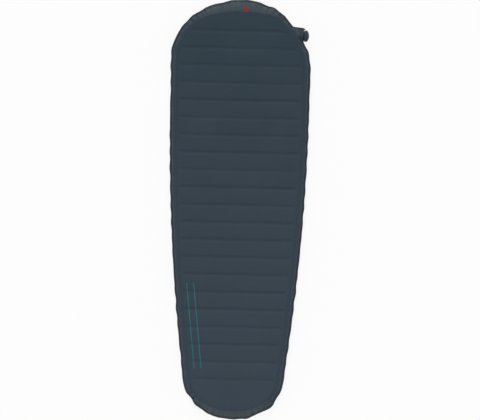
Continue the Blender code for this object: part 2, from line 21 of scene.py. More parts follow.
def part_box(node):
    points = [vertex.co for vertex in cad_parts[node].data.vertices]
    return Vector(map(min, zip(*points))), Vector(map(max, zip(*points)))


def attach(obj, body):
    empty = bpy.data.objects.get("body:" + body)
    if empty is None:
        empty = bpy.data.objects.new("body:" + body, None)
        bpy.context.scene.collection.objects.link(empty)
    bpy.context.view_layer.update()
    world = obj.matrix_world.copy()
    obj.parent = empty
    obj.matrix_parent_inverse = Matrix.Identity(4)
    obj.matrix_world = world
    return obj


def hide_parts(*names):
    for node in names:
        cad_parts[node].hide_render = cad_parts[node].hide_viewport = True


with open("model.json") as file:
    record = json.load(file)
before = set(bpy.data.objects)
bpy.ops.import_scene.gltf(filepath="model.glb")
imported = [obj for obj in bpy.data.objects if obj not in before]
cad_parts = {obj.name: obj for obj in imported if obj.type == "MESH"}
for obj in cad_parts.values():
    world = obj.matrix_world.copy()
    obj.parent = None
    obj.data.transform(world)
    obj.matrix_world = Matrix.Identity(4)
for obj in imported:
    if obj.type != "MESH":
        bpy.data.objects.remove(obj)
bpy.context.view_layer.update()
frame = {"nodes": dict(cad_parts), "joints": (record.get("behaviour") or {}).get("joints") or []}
scene = bpy.context.scene

MM = 0.001

# What the solids and the joint give
PAD_LOW, PAD_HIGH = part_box("upper_cover")
KNOB_LOW, KNOB_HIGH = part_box("valve_knob")
BASE_LOW, BASE_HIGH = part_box("valve_base")
HINGE = next(joint for joint in frame["joints"] if joint["name"] == "knob_turn")
VALVE = Vector(HINGE["pos_m"])
PAD_LENGTH = PAD_HIGH.y - PAD_LOW.y
PAD_WIDTH = PAD_HIGH.x - PAD_LOW.x
PAD_TOP = PAD_HIGH.z
MID_HEIGHT = PAD_TOP / 2
KNOB_RIM = KNOB_LOW.x - VALVE.x
KNOB_END = KNOB_HIGH.x - VALVE.x
KNOB_RADIUS = (KNOB_HIGH.z - KNOB_LOW.z) / 2
NECK_END = BASE_HIGH.x - VALVE.x
SLEEVE_END = BASE_LOW.x - VALVE.x

# Outline, seen from above
HEAD_DEPTH = 262 * MM
TAPER_FROM_HEAD = 437 * MM
FOOT_WIDTH = 438 * MM
FOOT_DEPTH = 165 * MM
SCOOP_DEPTH = 24 * MM
SCOOP_FROM_HEAD = 100 * MM
SCOOP_RUN_DOWN = 220 * MM
HEAD_TIP = PAD_LENGTH / 2
FOOT_TIP = -PAD_LENGTH / 2
HEAD_CENTRE = HEAD_TIP - HEAD_DEPTH
FOOT_JOIN = FOOT_TIP + FOOT_DEPTH
TAPER_START = HEAD_TIP - TAPER_FROM_HEAD
OUTLINE_STEPS = 3000

# Foot end as part of an ellipse that carries on the sides' slope
FOOT_SLOPE = (PAD_WIDTH - FOOT_WIDTH) / (TAPER_START - FOOT_JOIN)
FOOT_LEAN = FOOT_SLOPE * FOOT_DEPTH / (FOOT_WIDTH / 2)
FOOT_OFFSET = FOOT_LEAN / (1 - FOOT_LEAN)
FOOT_AXIS_Y = FOOT_DEPTH / (1 - FOOT_OFFSET)
FOOT_AXIS_X = FOOT_WIDTH / 2 / math.sqrt(1 - FOOT_OFFSET ** 2)
FOOT_CENTRE = FOOT_TIP + FOOT_AXIS_Y

# Welded rim and rolled edge
FABRIC = 0.5 * MM
WELD_GAP = 0.3 * MM
RIM_WIDTH = 9 * MM
EDGE_ROLL = 30 * MM
HEAD_ROLL = 58 * MM
FOOT_ROLL = 40 * MM
ROLL_LEAN_POWER = 6
ROLL_FULLNESS = 0.75
ROLL_SPACING = 1.25
CLEARANCE = 0.3 * MM
RIM_HEIGHT = WELD_GAP / 2 + FABRIC
RIM_RINGS = 4
ROLL_RINGS = 9
BAND_RINGS = 2
BAND_STEP = 3.5 * MM
FLAT_BAND = BAND_RINGS * BAND_STEP
STATION_STEP = 4 * MM
EAR_STATION_STEP = 1.5 * MM
SCALLOP = 0.8 * MM  # how far the edge stands out at the grooves
WANDER_LENGTHS = (62 * MM, 88 * MM, 131 * MM)
WANDER_SIDE = 0.7 * MM
WANDER_CORNER = 1.3 * MM
WANDER_SEED = 3
EDGE_BULGES = (  # in mm: across, along, how far out, how far round about
    (160, -857, 6, 28),
    (60, -907, 3, 18),
    (-179, -830, -5.5, 24),
    (-96, 899, -3.5, 35),
    (112, 889, -6, 26),
)

# Where the edge faces an end: how squarely at first, and how much more for the full mark
GATHER_START = 0.3
GATHER_RUN = 0.3
TIP_START = 0.9
TIP_RUN = 0.1
HEAD_START = 0.72
HEAD_RUN = 0.22
FOOT_START = 0.6
FOOT_RUN = 0.3

# Grooves over the foam's slots
GROOVE_FIRST = HEAD_TIP - 140 * MM
GROOVE_PITCH = 75.9 * MM
GROOVE_COUNT = 21
GROOVE_HALF_WIDTH = 14 * MM
GROOVE_DEPTH = 3.2 * MM
GROOVE_RAIL = 4 * MM
GROOVE_RUN_OUT = 20 * MM
GROOVE_WANDER = 5 * MM
SLAT_CROWN = 1.2 * MM
SLAT_UNEVEN = 0.8 * MM
DEPTH_SPREAD = 0.4  # how much deeper the deepest groove is
GROOVE_LAST = GROOVE_FIRST - GROOVE_PITCH * (GROOVE_COUNT - 1)
ROWS_PER_SLAT = 27
ROW_STEP = GROOVE_PITCH / ROWS_PER_SLAT
COLUMN_STEP = 8.5 * MM
FLAT_MARGIN = 2.4 * MM
FILL_PRECISION = 1e-7

# Foam core
FOAM_SETBACK = 3 * MM
FOAM_BEVEL_HEIGHT = 11 * MM
FOAM_BEVEL_REACH = 11 * MM
SLOT_HALF_WIDTH = 10.6 * MM
SLOT_LIP = 4 * MM
SLOT_RAIL = 5.5 * MM
SLOT_ROUND = 8 * MM
SLOT_STEPS = 80

# Valve
EAR_SHOULDER = 6 * MM
EAR_SOFT_START = 12 * MM  # above the rim the ear's sides fan out
EAR_SOFT_RUN = 42 * MM
EAR_ROUND = 3.5 * MM  # how far the ear's end falls back at its corners
TAB_START = KNOB_RADIUS + 0.7 * MM
TAB_RISE = 2.5 * MM
TAB_WIDTH = 7 * MM
TAB_REACH = 7 * MM
TAB_END = TAB_START + TAB_RISE + TAB_WIDTH
EAR_STILL = 55 * MM  # the simulation leaves the edge alone this far from the valve
BOAT_LENGTH = 64 * MM
BOAT_THICKNESS = 26 * MM
BOAT_DEPTH = 18 * MM
BOAT_STEPS = 48
COLLAR_RADIUS = 17 * MM
COLLAR_THICKNESS = 1.4 * MM
COLLAR_TOP = CLEARANCE + COLLAR_THICKNESS
NECK_RADIUS = 12.5 * MM
CORE_RADIUS = 12 * MM
SLEEVE_RADIUS = 10.5 * MM
BORE_RADIUS = 8.5 * MM
MOUTH_BORE_RADIUS = 7.6 * MM
BORE_STEP_DEPTH = 1 * MM
THREAD_LEAD = 4 * MM
THREAD_RIDGE = 0.8 * MM
THREAD_CREST = 1.2 * MM
NECK_TURNS = 1.2
KNOB_TURNS = 0.75
THREAD_STEPS = 60
THREAD_START = NECK_END - NECK_TURNS * THREAD_LEAD - THREAD_RIDGE - CLEARANCE
KNOB_BORE_RADIUS = NECK_RADIUS + THREAD_CREST + 0.4 * MM
KNOB_CEILING = NECK_END + 0.6 * MM
KNOB_FACE_RADIUS = 7 * MM
KNOB_DOME_RADIUS = 38 * MM
KNOB_EDGE = 1.6 * MM  # rounding between the dome and the skirt
MOUTH_RADIUS = 5.2 * MM
MOUTH_CHAMFER = 1.2 * MM
RETAINER_RADIUS = 16.2 * MM
RETAINER_SEAT = KNOB_RIM + 1.3 * MM
WIPER_SEAT_RADIUS = 15 * MM
WIPER_SEAT = RETAINER_SEAT + 2.5 * MM
SKIRT_END = 0.9 * MM  # the skirt hides the collar
SKIRT_INNER_RADIUS = COLLAR_RADIUS + 0.8 * MM
FLUTE_COUNT = 20
FLUTE_DEPTH = 1.5 * MM
FLUTE_RUN_OUT = 3.5 * MM
FLUTE_LIP = 2.2 * MM  # plain bead under the flutes
FLUTE_FADE = 1.4 * MM
FLUTE_SHARPNESS = 1.4
TURN_STEPS = 240
CORNER_STEPS = 5
DOME_STEPS = 16
SKIRT_STEPS = 14
CUT_PAST = 1 * MM

# Photograph, in its pixels
IMAGE_WIDTH = 480
IMAGE_HEIGHT = 420
PAD_PIXELS = 419.1
PAD_CENTRE_ACROSS = 237.2
PAD_CENTRE_DOWN = 209.5
PAD_TURN = math.radians(1.4)
CAMERA_HEIGHT = 6.0
SENSOR = 36.0

# Light
FILL_ZENITH = 0.90
FILL_HORIZON = 0.52
KEY_STRENGTH = 0.34
KEY_ELEVATION = math.radians(36)
KEY_AZIMUTH = math.radians(-8)
KEY_ANGLE = math.radians(30)
FLOOR_SIZE = 24.0
FLOOR_GREY = 0.9
FLOOR_DARKER_GREY = 0.88
FLOOR_GLOW = 0.86  # share of plain white that the camera sees in the floor

# Fabric
UPPER_THREAD = 0.9 * MM
LOWER_THREAD = 1.2 * MM
FABRIC_SHINE = 0.18
FABRIC_SHEEN = 0.04
# Pale colour for rub wear on fold crests and for painted highlights
PALE_WEAR_AND_HIGHLIGHT = (0.070, 0.088, 0.104, 1.0)
# Painted sheen on the end slopes: how strong at the head, compared with the foot
HEAD_SHEEN_SHARE = 0.7  # the head's edge, compared with the foot's
# Ring of the painted highlight along the start of the roll
ROLL_HIGHLIGHT_RING = RIM_RINGS + 1.5
MARK_SPREAD = 1.4  # in rings

# Fabric prints, plain shapes only
STRIPE_MIDDLE = Vector((-176 * MM, -509 * MM, 0))
STRIPE_TILT = math.radians(6.4)
STRIPE_HALF_LENGTH = 186 * MM
STRIPE_HALF_SPREAD = 15 * MM
STRIPE_HALF_WIDTH = 2.2 * MM
DOT_MIDDLE = Vector((17 * MM, 872 * MM, 0))
DOT_RADIUS = 13 * MM

# Cloth simulation
CLOTH_FRAMES = 24
CLOTH_PRESSURE = 4.0
CLOTH_REACH = 6 * MM
RIM_WAVE_LENGTHS = (23 * MM, 31 * MM, 44 * MM)
FOLD_LENGTHS = (47 * MM, 63 * MM, 90 * MM)
PUCKER_SIDE = 0.25 * MM
PUCKER_CORNER = 1.5 * MM
FOLD_CORNER = 3.6 * MM
FOLD_SKEW = 0.6  # under 1, the folds are deepest near the rim
FOLD_KEEP = 0.6  # share of the first folds that the simulation doesn't smooth out
TINY = 1e-9
SEED = 7


# Node trees

def operation(name, swapped=False):
    """A method that does one sum in the node tree."""
    def method(self, *others):
        values = (*others, self) if swapped else (self, *others)
        return self.add("ShaderNodeMath", dict(enumerate(values)), operation=name)
    return method


class Socket:
    """An output of a node tree that takes part in Python arithmetic."""

    def __init__(self, tree, output=None):
        self.tree = tree
        self.output = output

    def add(self, kind, inputs=None, output=0, **settings):
        """Adds a node, sets it up, fills its inputs and gives one of its outputs."""
        node = self.tree.nodes.new(kind)
        for name, setting in settings.items():
            setattr(node, name, setting)
        for name, value in (inputs or {}).items():
            if isinstance(value, Socket):
                self.tree.links.new(value.output, node.inputs[name])
            else:
                node.inputs[name].default_value = value
        return None if output is None else Socket(self.tree, node.outputs[output])

    __add__ = __radd__ = operation("ADD")
    __mul__ = __rmul__ = operation("MULTIPLY")
    __sub__ = operation("SUBTRACT")
    __rsub__ = operation("SUBTRACT", swapped=True)
    __truediv__ = operation("DIVIDE")
    __pow__ = operation("POWER")
    low = operation("MINIMUM")
    high = operation("MAXIMUM")
    size = operation("ABSOLUTE")
    floor = operation("FLOOR")
    sine = operation("SINE")
    cosine = operation("COSINE")
    angle = operation("ARCTAN2")

    def step(self, start, end):
        """Eased step from 0 at start to 1 at end."""
        values = {"Value": self, "From Min": start, "From Max": end}
        return self.add("ShaderNodeMapRange", values, interpolation_type="SMOOTHSTEP")

    def part(self, axis):
        """One coordinate of a vector."""
        return self.add("ShaderNodeSeparateXYZ", {0: self}, output=axis)

    def colours(self, first, second):
        """From one colour to another by this value."""
        return self.add("ShaderNodeMix", {0: self, 6: first, 7: second}, output=2, data_type="RGBA")

    def noise(self, scale, detail=2.0, roughness=0.5):
        """Noise on this vector, from 0 to 1."""
        values = {"Vector": self, "Scale": scale, "Detail": detail, "Roughness": roughness}
        return self.add("ShaderNodeTexNoise", values)


def new_material(name):
    """An empty material and the start of its node tree."""
    material = bpy.data.materials.new(name)
    material.use_nodes = True
    material.node_tree.nodes.clear()
    return material, Socket(material.node_tree)


def close_material(nodes, colour, roughness, height, depth, **constants):
    """Ends a material in a principled shader with a bump."""
    normal = nodes.add("ShaderNodeBump", {"Height": height, "Distance": depth, "Strength": 1.0})
    values = {"Base Color": colour, "Roughness": roughness, "Normal": normal}
    for name, value in constants.items():
        values[name.replace("_", " ")] = value
    shader = nodes.add("ShaderNodeBsdfPrincipled", values)
    nodes.add("ShaderNodeOutputMaterial", {"Surface": shader}, output=None)


def object_place(nodes):
    return nodes.add("ShaderNodeTexCoord", output="Object")


def rgb(red, green, blue):
    return (red, green, blue, 1.0)


# Materials

def weave(nodes, thread):
    """Plain weave on the flat cut, from -1 under a thread to 1 on one."""
    cut = nodes.add("ShaderNodeUVMap", uv_map="cut")
    across = (cut.part(0) * (math.pi / thread)).sine()
    along = (cut.part(1) * (math.pi / thread)).sine()
    return across * along


def stripes(nodes, place):
    """Two plain lines beside the tapered left edge."""
    turned = nodes.add(
        "ShaderNodeMapping",
        {"Vector": place, "Location": STRIPE_MIDDLE, "Rotation": (0, 0, STRIPE_TILT)},
        vector_type="TEXTURE")
    across = turned.part(0).size() - STRIPE_HALF_SPREAD
    line = 1 - across.size().step(STRIPE_HALF_WIDTH * 0.85, STRIPE_HALF_WIDTH * 1.15)
    length = 1 - turned.part(1).size().step(STRIPE_HALF_LENGTH, STRIPE_HALF_LENGTH + 1 * MM)
    return line * length


def dot(nodes, place):
    """One plain round dot at the head."""
    middle = nodes.add(
        "ShaderNodeMapping", {"Vector": place, "Location": DOT_MIDDLE}, vector_type="TEXTURE")
    across = middle.part(0)
    along = middle.part(1)
    radius = (across * across + along * along) ** 0.5
    return 1 - radius.step(DOT_RADIUS * 0.96, DOT_RADIUS * 1.04)


def mark(nodes, name):
    """A mark that the cover's mesh carries."""
    return nodes.add("ShaderNodeAttribute", output="Fac", attribute_name=name)


def make_upper_fabric():
    """Slate-blue matte weave, darker towards the head, with painted sheen, painted highlights and painted
    shade along its edge, folds and grooves, some rub wear, and plain printed marks.
    """
    material, nodes = new_material("upper_fabric")
    place = object_place(nodes)
    threads = weave(nodes, UPPER_THREAD)
    patches = place.noise(7.0, 4.0)
    flecks = place.noise(260.0, 3.0)
    weld = mark(nodes, "weld")
    # Darker towards the head end, lighter towards the foot.
    headward_darkening = place.part(1) * -0.35
    tone = (patches - 0.5) * 0.6 + (flecks - 0.5) * 0.3 + threads * 0.08 + headward_darkening + 0.5
    plain = tone.colours(rgb(0.0225, 0.040, 0.054), rgb(0.042, 0.0585, 0.079))
    # Painted sheen: where the edge rolls down towards the head or the foot, the slope is painted paler and
    # greyer, as if catching the light.
    turned = (mark(nodes, "end_sheen") * (0.75 + patches * 0.5)).colours(plain, rgb(0.0553, 0.0762, 0.0857))
    # Painted highlight: a pale broken line along the start of the roll, where the edge catches the light.
    dashes = place.noise(38.0, 2.0).step(0.42, 0.62)
    roll_highlight = (mark(nodes, "roll_highlight") * dashes * 0.5).colours(turned, PALE_WEAR_AND_HIGHLIGHT)
    # Painted shade in the crease where the roll meets the flat top.
    crease_shaded = (mark(nodes, "crease_shade") * 0.55).colours(roll_highlight, rgb(0.024, 0.040, 0.058))
    # Fold crests are painted paler, partly rub wear and partly painted highlight; fold hollows are painted
    # darker, as painted shade.
    fold_wear_and_shade = mark(nodes, "fold_wear_and_shade")
    crest_wear_and_highlight = (fold_wear_and_shade.high(0.0) * 0.3).colours(crease_shaded, PALE_WEAR_AND_HIGHLIGHT)
    fold_hollow_shade = ((fold_wear_and_shade * -1).high(0.0) * 0.3).colours(crest_wear_and_highlight, rgb(0.018, 0.030, 0.042))
    # Painted highlight: the grooves are painted a little paler, against the shade in them.
    groove_lightened = (mark(nodes, "groove") * 0.05).colours(fold_hollow_shade, PALE_WEAR_AND_HIGHLIGHT)
    sealed = (weld * 0.55).colours(groove_lightened, rgb(0.026, 0.037, 0.049))
    ink = 0.86 + threads * 0.08 + (flecks - 0.5) * 0.2
    striped = (stripes(nodes, place) * ink).colours(sealed, rgb(0.020, 0.135, 0.165))
    colour = (dot(nodes, place) * ink).colours(striped, rgb(0.215, 0.020, 0.026))
    roughness = 0.82 + (patches - 0.5) * 0.16 - weld * 0.14
    height = threads * (1 - weld * 0.5) + (flecks - 0.5) * 0.8
    close_material(
        nodes, colour, roughness, height, 0.10 * MM, Specular_IOR_Level=FABRIC_SHINE,
        Sheen_Weight=FABRIC_SHEEN)
    return material


def make_lower_fabric():
    """Anthracite weave, coarser than the upper one, with scuffed patches."""
    material, nodes = new_material("lower_fabric")
    place = object_place(nodes)
    threads = weave(nodes, LOWER_THREAD)
    patches = place.noise(5.0, 4.0)
    flecks = place.noise(220.0, 3.0)
    weld = mark(nodes, "weld")
    tone = (patches - 0.5) * 1.2 + (flecks - 0.5) * 0.5 + threads * 0.15 + 0.5
    plain = tone.colours(rgb(0.020, 0.022, 0.025), rgb(0.029, 0.031, 0.034))
    colour = (weld * 0.5).colours(plain, rgb(0.016, 0.017, 0.019))
    roughness = 0.84 + (patches - 0.5) * 0.14 - weld * 0.14
    height = threads * (1 - weld * 0.5) + (flecks - 0.5) * 0.8
    close_material(
        nodes, colour, roughness, height, 0.14 * MM, Specular_IOR_Level=FABRIC_SHINE,
        Sheen_Weight=FABRIC_SHEEN)
    return material


def make_foam_finish():
    """Open-cell foam, pale and a little yellowed."""
    material, nodes = new_material("foam")
    place = object_place(nodes)
    cells = nodes.add("ShaderNodeTexVoronoi", {"Vector": place, "Scale": 700.0})
    ageing = place.noise(12.0, 3.0)
    tone = cells * 0.7 + (ageing - 0.5) * 0.8 + 0.1
    colour = tone.colours(rgb(0.66, 0.64, 0.57), rgb(0.48, 0.45, 0.36))
    roughness = 0.92 + (ageing - 0.5) * 0.1
    close_material(nodes, colour, roughness, 1 - cells, 0.4 * MM)
    return material


def make_moulded_plastic(name, dark, pale, shine):
    """Moulded plastic with a fine spark-eroded skin and handling wear."""
    material, nodes = new_material(name)
    place = object_place(nodes)
    skin = place.noise(1500.0, 2.0)
    wear = place.noise(90.0, 4.0)
    colour = (wear * 0.8 + (skin - 0.5) * 0.6).colours(dark, pale)
    roughness = 0.55 + (wear - 0.5) * 0.2 + (skin - 0.5) * 0.1
    close_material(nodes, colour, roughness, skin, 0.06 * MM, Specular_IOR_Level=shine)
    return material


def make_rubber():
    """Soft black rubber with a dusty bloom."""
    material, nodes = new_material("rubber")
    place = object_place(nodes)
    bloom = place.noise(350.0, 3.0)
    colour = bloom.colours(rgb(0.009, 0.009, 0.009), rgb(0.017, 0.017, 0.017))
    close_material(nodes, colour, 0.62 + bloom * 0.2, bloom, 0.03 * MM)
    return material


# Stage, light and camera

def make_camera():
    """Straight down on the pad, placed and turned as it lies in the photograph."""
    pixel = PAD_LENGTH / PAD_PIXELS
    across = (IMAGE_WIDTH / 2 - PAD_CENTRE_ACROSS) * pixel
    down = (IMAGE_HEIGHT / 2 - PAD_CENTRE_DOWN) * pixel
    data = bpy.data.cameras.new("camera")
    data.sensor_width = SENSOR
    data.lens = SENSOR * CAMERA_HEIGHT / (IMAGE_WIDTH * pixel)
    camera = add_piece("camera", data)
    turn = Matrix.Rotation(PAD_TURN, 3, "Z")
    camera.location = turn @ Vector((across, -down, MID_HEIGHT + CAMERA_HEIGHT))
    camera.rotation_euler = (0, 0, PAD_TURN)
    scene.camera = camera


def seen_rays(nodes):
    """1 for rays that show the background, in the camera, in gloss or through glass."""
    kinds = ("Is Camera Ray", "Is Glossy Ray", "Is Transmission Ray")
    camera, glossy, through = [nodes.add("ShaderNodeLightPath", output=kind) for kind in kinds]
    return camera.high(glossy).high(through)


def make_world():
    """Soft fill that is brightest overhead, and white where it shows."""
    world = bpy.data.worlds.new("studio")
    world.use_nodes = True
    world.node_tree.nodes.clear()
    scene.world = world
    nodes = Socket(world.node_tree)
    rise = nodes.add("ShaderNodeTexCoord", output="Generated").part(2).high(0.0)
    fill = FILL_HORIZON + rise * (FILL_ZENITH - FILL_HORIZON)
    seen = seen_rays(nodes)
    strength = fill + seen * (1 - fill)
    shader = nodes.add("ShaderNodeBackground", {"Color": rgb(1.0, 1.0, 1.0), "Strength": strength})
    nodes.add("ShaderNodeOutputWorld", {"Surface": shader}, output=None)


def make_key_light():
    """Soft light from the head end."""
    data = bpy.data.lights.new("key", "SUN")
    data.energy = KEY_STRENGTH * math.pi
    data.angle = KEY_ANGLE
    light = add_piece("key", data)
    towards = Vector((
        math.cos(KEY_ELEVATION) * math.sin(KEY_AZIMUTH),
        math.cos(KEY_ELEVATION) * math.cos(KEY_AZIMUTH),
        math.sin(KEY_ELEVATION)))
    light.rotation_euler = towards.to_track_quat("Z", "Y").to_euler()


def make_floor():
    """Pale floor that keeps a faint shadow."""
    material, nodes = new_material("floor")
    place = object_place(nodes)
    paper = place.noise(3.0, 3.0)
    tint = paper.colours(rgb(*[FLOOR_GREY] * 3), rgb(*[FLOOR_DARKER_GREY] * 3))
    matte = nodes.add("ShaderNodeBsdfDiffuse", {"Color": tint})
    glow = nodes.add("ShaderNodeEmission", {"Color": rgb(1.0, 1.0, 1.0), "Strength": 1.0})
    share = seen_rays(nodes) * FLOOR_GLOW
    shader = nodes.add("ShaderNodeMixShader", {0: share, 1: matte, 2: glow})
    nodes.add("ShaderNodeOutputMaterial", {"Surface": shader}, output=None)
    half = FLOOR_SIZE / 2
    corners = [(-half, -half, 0), (half, -half, 0), (half, half, 0), (-half, half, 0)]
    mesh = bpy.data.meshes.new("floor")
    mesh.from_pydata(corners, [], [(0, 1, 2, 3)])
    floor = add_piece("floor", mesh, material)


# Mesh helpers

def add_piece(name, data, material=None):
    piece = bpy.data.objects.new(name, data)
    if material:
        data.materials.clear()
        data.materials.append(material)
    scene.collection.objects.link(piece)
    return piece


def stand_in(piece, node, body):
    """Hides the solid that a piece stands for and puts the piece on the body it rides on."""
    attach(piece, body)
    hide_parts(node)


def bake(piece):
    """Turns a piece's modifiers into its plain mesh."""
    graph = bpy.context.evaluated_depsgraph_get()
    mesh = bpy.data.meshes.new_from_object(
        piece.evaluated_get(graph), preserve_all_data_layers=True, depsgraph=graph)
    piece.modifiers.clear()
    piece.data = mesh


def close_mesh(bm, name):
    """Turns all faces outwards and gives the finished mesh."""
    bmesh.ops.recalc_face_normals(bm, faces=bm.faces)
    mesh = bpy.data.meshes.new(name)
    bm.to_mesh(mesh)
    bm.free()
    return mesh


def smooth_shade(mesh, angle):
    mesh.shade_smooth()
    mesh.set_sharp_from_angle(angle=math.radians(angle))


def geometry_tree(name, sizes):
    """A tree with geometry, a material and named sizes coming in. Gives its start and its inputs."""
    tree = bpy.data.node_groups.new(name, "GeometryNodeTree")
    tree.interface.new_socket("Geometry", in_out="OUTPUT", socket_type="NodeSocketGeometry")
    kinds = {"Geometry": "Geometry", "Material": "Material", **dict.fromkeys(sizes, "Float")}
    for title, kind in kinds.items():
        tree.interface.new_socket(title, in_out="INPUT", socket_type="NodeSocket" + kind)
    entry = tree.nodes.new("NodeGroupInput")
    return Socket(tree), {output.name: Socket(tree, output) for output in entry.outputs}


def close_tree(nodes, geometry, material):
    real = nodes.add("GeometryNodeRealizeInstances", {0: geometry})
    coated = nodes.add("GeometryNodeSetMaterial", {"Geometry": real, "Material": material})
    nodes.add("NodeGroupOutput", {0: coated}, output=None)


def run_tree(piece, nodes, values):
    """Puts a geometry tree on a piece and sets its named inputs."""
    modifier = piece.modifiers.new(nodes.tree.name, "NODES")
    modifier.node_group = nodes.tree
    for item in nodes.tree.interface.items_tree:
        if item.in_out == "INPUT" and item.name in values:
            modifier[item.identifier] = values[item.name]


def set_numbers(mesh, name, values):
    layer = mesh.attributes.new(name, "FLOAT", "POINT")
    layer.data.foreach_set("value", np.asarray(values, np.float32))


def set_cut_map(mesh, cut):
    """UV map of the flat cut, in metres."""
    layer = mesh.uv_layers.new(name="cut")
    corners = np.zeros(len(mesh.loops), np.int32)
    mesh.loops.foreach_get("vertex_index", corners)
    layer.data.foreach_set("uv", np.asarray(cut[corners], np.float32).ravel())


# Outline of the pad

def ease(share):
    share = np.clip(share, 0, 1)
    return share * share * (3 - 2 * share)


def half_width(y):
    head = np.clip((y - HEAD_CENTRE) / HEAD_DEPTH, 0, 1)
    foot = np.clip((FOOT_CENTRE - y) / FOOT_AXIS_Y, 0, 1)
    taper = np.clip((TAPER_START - y) / (TAPER_START - FOOT_JOIN), 0, 1)
    side = PAD_WIDTH / 2 - (PAD_WIDTH - FOOT_WIDTH) / 2 * taper ** 2
    upper = np.where(y > HEAD_CENTRE, PAD_WIDTH / 2 * np.sqrt(1 - head ** 2), side)
    return np.where(y < FOOT_JOIN, FOOT_AXIS_X * np.sqrt(1 - foot ** 2), upper)


def scoop(y):
    """How far the valve's side is drawn in round the valve."""
    middle = HEAD_TIP - SCOOP_FROM_HEAD
    run = np.where(y > middle, SCOOP_FROM_HEAD, SCOOP_RUN_DOWN)
    share = np.clip(np.abs(y - middle) / run, 0, 1)
    return SCOOP_DEPTH * np.cos(math.pi / 2 * share) ** 2


def ear_fall(offset):
    """How far the ear's end falls back at a distance from the valve's middle."""
    return EAR_ROUND * np.clip(np.abs(offset) / (BOAT_LENGTH / 2), 0, 1) ** 4


def ear_tab(offset):
    """How far a rounded tab of fabric stands out beside the knob, on its headward side."""
    across = np.clip((offset - TAB_START - TAB_RISE) / TAB_WIDTH, 0, 1)
    return TAB_REACH * ease((offset - TAB_START) / TAB_RISE) * np.sqrt(1 - across ** 2)


def boat_lift(offset):
    """Half the thickness of the valve's weld base at a distance from its middle."""
    share = np.clip(np.abs(offset) / (BOAT_LENGTH / 2), 0, 1)
    return BOAT_THICKNESS / 2 * np.cos(math.pi / 2 * share) ** 2


def dense_outline():
    """Fine outline, counterclockwise from the foot's tip."""
    turn = np.linspace(0, math.pi, OUTLINE_STEPS)
    y = -PAD_LENGTH / 2 * np.cos(turn)
    right = np.column_stack((half_width(y) - scoop(y), y))
    left = np.column_stack((-half_width(y), y))[::-1]
    return np.vstack((right, left[1:]))


def trace_edge():
    """Stations round the outline, closer together at the valve's ear."""
    dense = dense_outline()
    middle = (dense[1:] + dense[:-1]) / 2
    by_ear = (middle[:, 0] > 0) & (np.abs(middle[:, 1] - VALVE.y) < EAR_STILL)
    spacing = np.where(by_ear, EAR_STATION_STEP, STATION_STEP)
    lengths = np.linalg.norm(np.diff(dense, axis=0), axis=1)
    progress = np.concatenate(([0], np.cumsum(lengths / spacing)))
    count = round(progress[-1])
    wanted = np.arange(count) * progress[-1] / count
    points = np.column_stack([np.interp(wanted, progress, dense[:, i]) for i in (0, 1)])
    tangents = np.roll(points, -1, axis=0) - np.roll(points, 1, axis=0)
    tangents /= np.linalg.norm(tangents, axis=1)[:, None]
    normals = np.column_stack((tangents[:, 1], -tangents[:, 0]))
    lean = normals[:, 1]
    turning = np.abs(lean)
    at_tip = ease((turning - TIP_START) / TIP_RUN)
    steps = np.linalg.norm(np.diff(points, axis=0, prepend=points[-1:]), axis=1)
    tip_roll = np.where(lean > 0, HEAD_ROLL, FOOT_ROLL)
    offset = np.where(points[:, 0] > 0, points[:, 1] - VALVE.y, PAD_LENGTH)
    ear_half = np.where(offset > 0, TAB_END, BOAT_LENGTH / 2)
    return SimpleNamespace(
        points=points,
        normals=normals,
        roll=EDGE_ROLL + (tip_roll - EDGE_ROLL) * lean ** ROLL_LEAN_POWER,
        along=np.cumsum(steps),
        gathered=ease((turning - GATHER_START) / GATHER_RUN) * (1 - 0.5 * at_tip),
        head=ease((lean - HEAD_START) / HEAD_RUN),
        foot=ease((-lean - FOOT_START) / FOOT_RUN),
        ear=1 - ease((np.abs(offset) - ear_half) / EAR_SHOULDER),
        soft_ear=1 - ease((np.abs(offset) - EAR_SOFT_START) / EAR_SOFT_RUN),
        ear_end=VALVE.x - ear_fall(offset),
        tab=ear_tab(offset),
        lift=np.where(np.abs(offset) < BOAT_LENGTH / 2, boat_lift(offset) + CLEARANCE, 0),
        still=1 - ease((np.abs(offset) - EAR_STILL * 0.75) / (EAR_STILL * 0.5)),
        count=count)


def inset(edge, distance):
    """Plan of the outline moved inwards."""
    return edge.points - edge.normals * np.reshape(distance, (-1, 1))


def rim_plan(edge, share, ear_weight):
    """Plan of a ring of the welded rim, from its cut edge (0) to its inner side (1)."""
    plain = inset(edge, RIM_WIDTH * share)
    ear = np.maximum(edge.ear_end + edge.tab * (1 - share) ** 2 - BOAT_DEPTH * share, plain[:, 0])
    sleeve = np.column_stack((ear, edge.points[:, 1]))
    return plain + (sleeve - plain) * ear_weight[:, None]


def cover_rings(edge, side):
    """Rings of a cover's outside, from the cut edge to the flat, as points in space."""
    rings = []
    low = RIM_HEIGHT + edge.lift
    for share in np.linspace(0, 1, RIM_RINGS):
        rings.append(np.column_stack((rim_plan(edge, share, edge.ear), MID_HEIGHT + side * low)))
    end = inset(edge, edge.roll)
    for share in (np.arange(1, ROLL_RINGS + 1) / ROLL_RINGS) ** ROLL_SPACING:
        rise = low + (MID_HEIGHT - low) * math.sin(math.pi / 2 * share ** ROLL_FULLNESS)
        start = rim_plan(edge, 1, edge.ear + (edge.soft_ear - edge.ear) * ease(share * 2))
        rings.append(np.column_stack((start + (end - start) * share, MID_HEIGHT + side * rise)))
    for step in range(1, BAND_RINGS + 1):
        flat = np.full(edge.count, MID_HEIGHT + side * MID_HEIGHT)
        rings.append(np.column_stack((inset(edge, edge.roll + BAND_STEP * step), flat)))
    return np.array(rings)


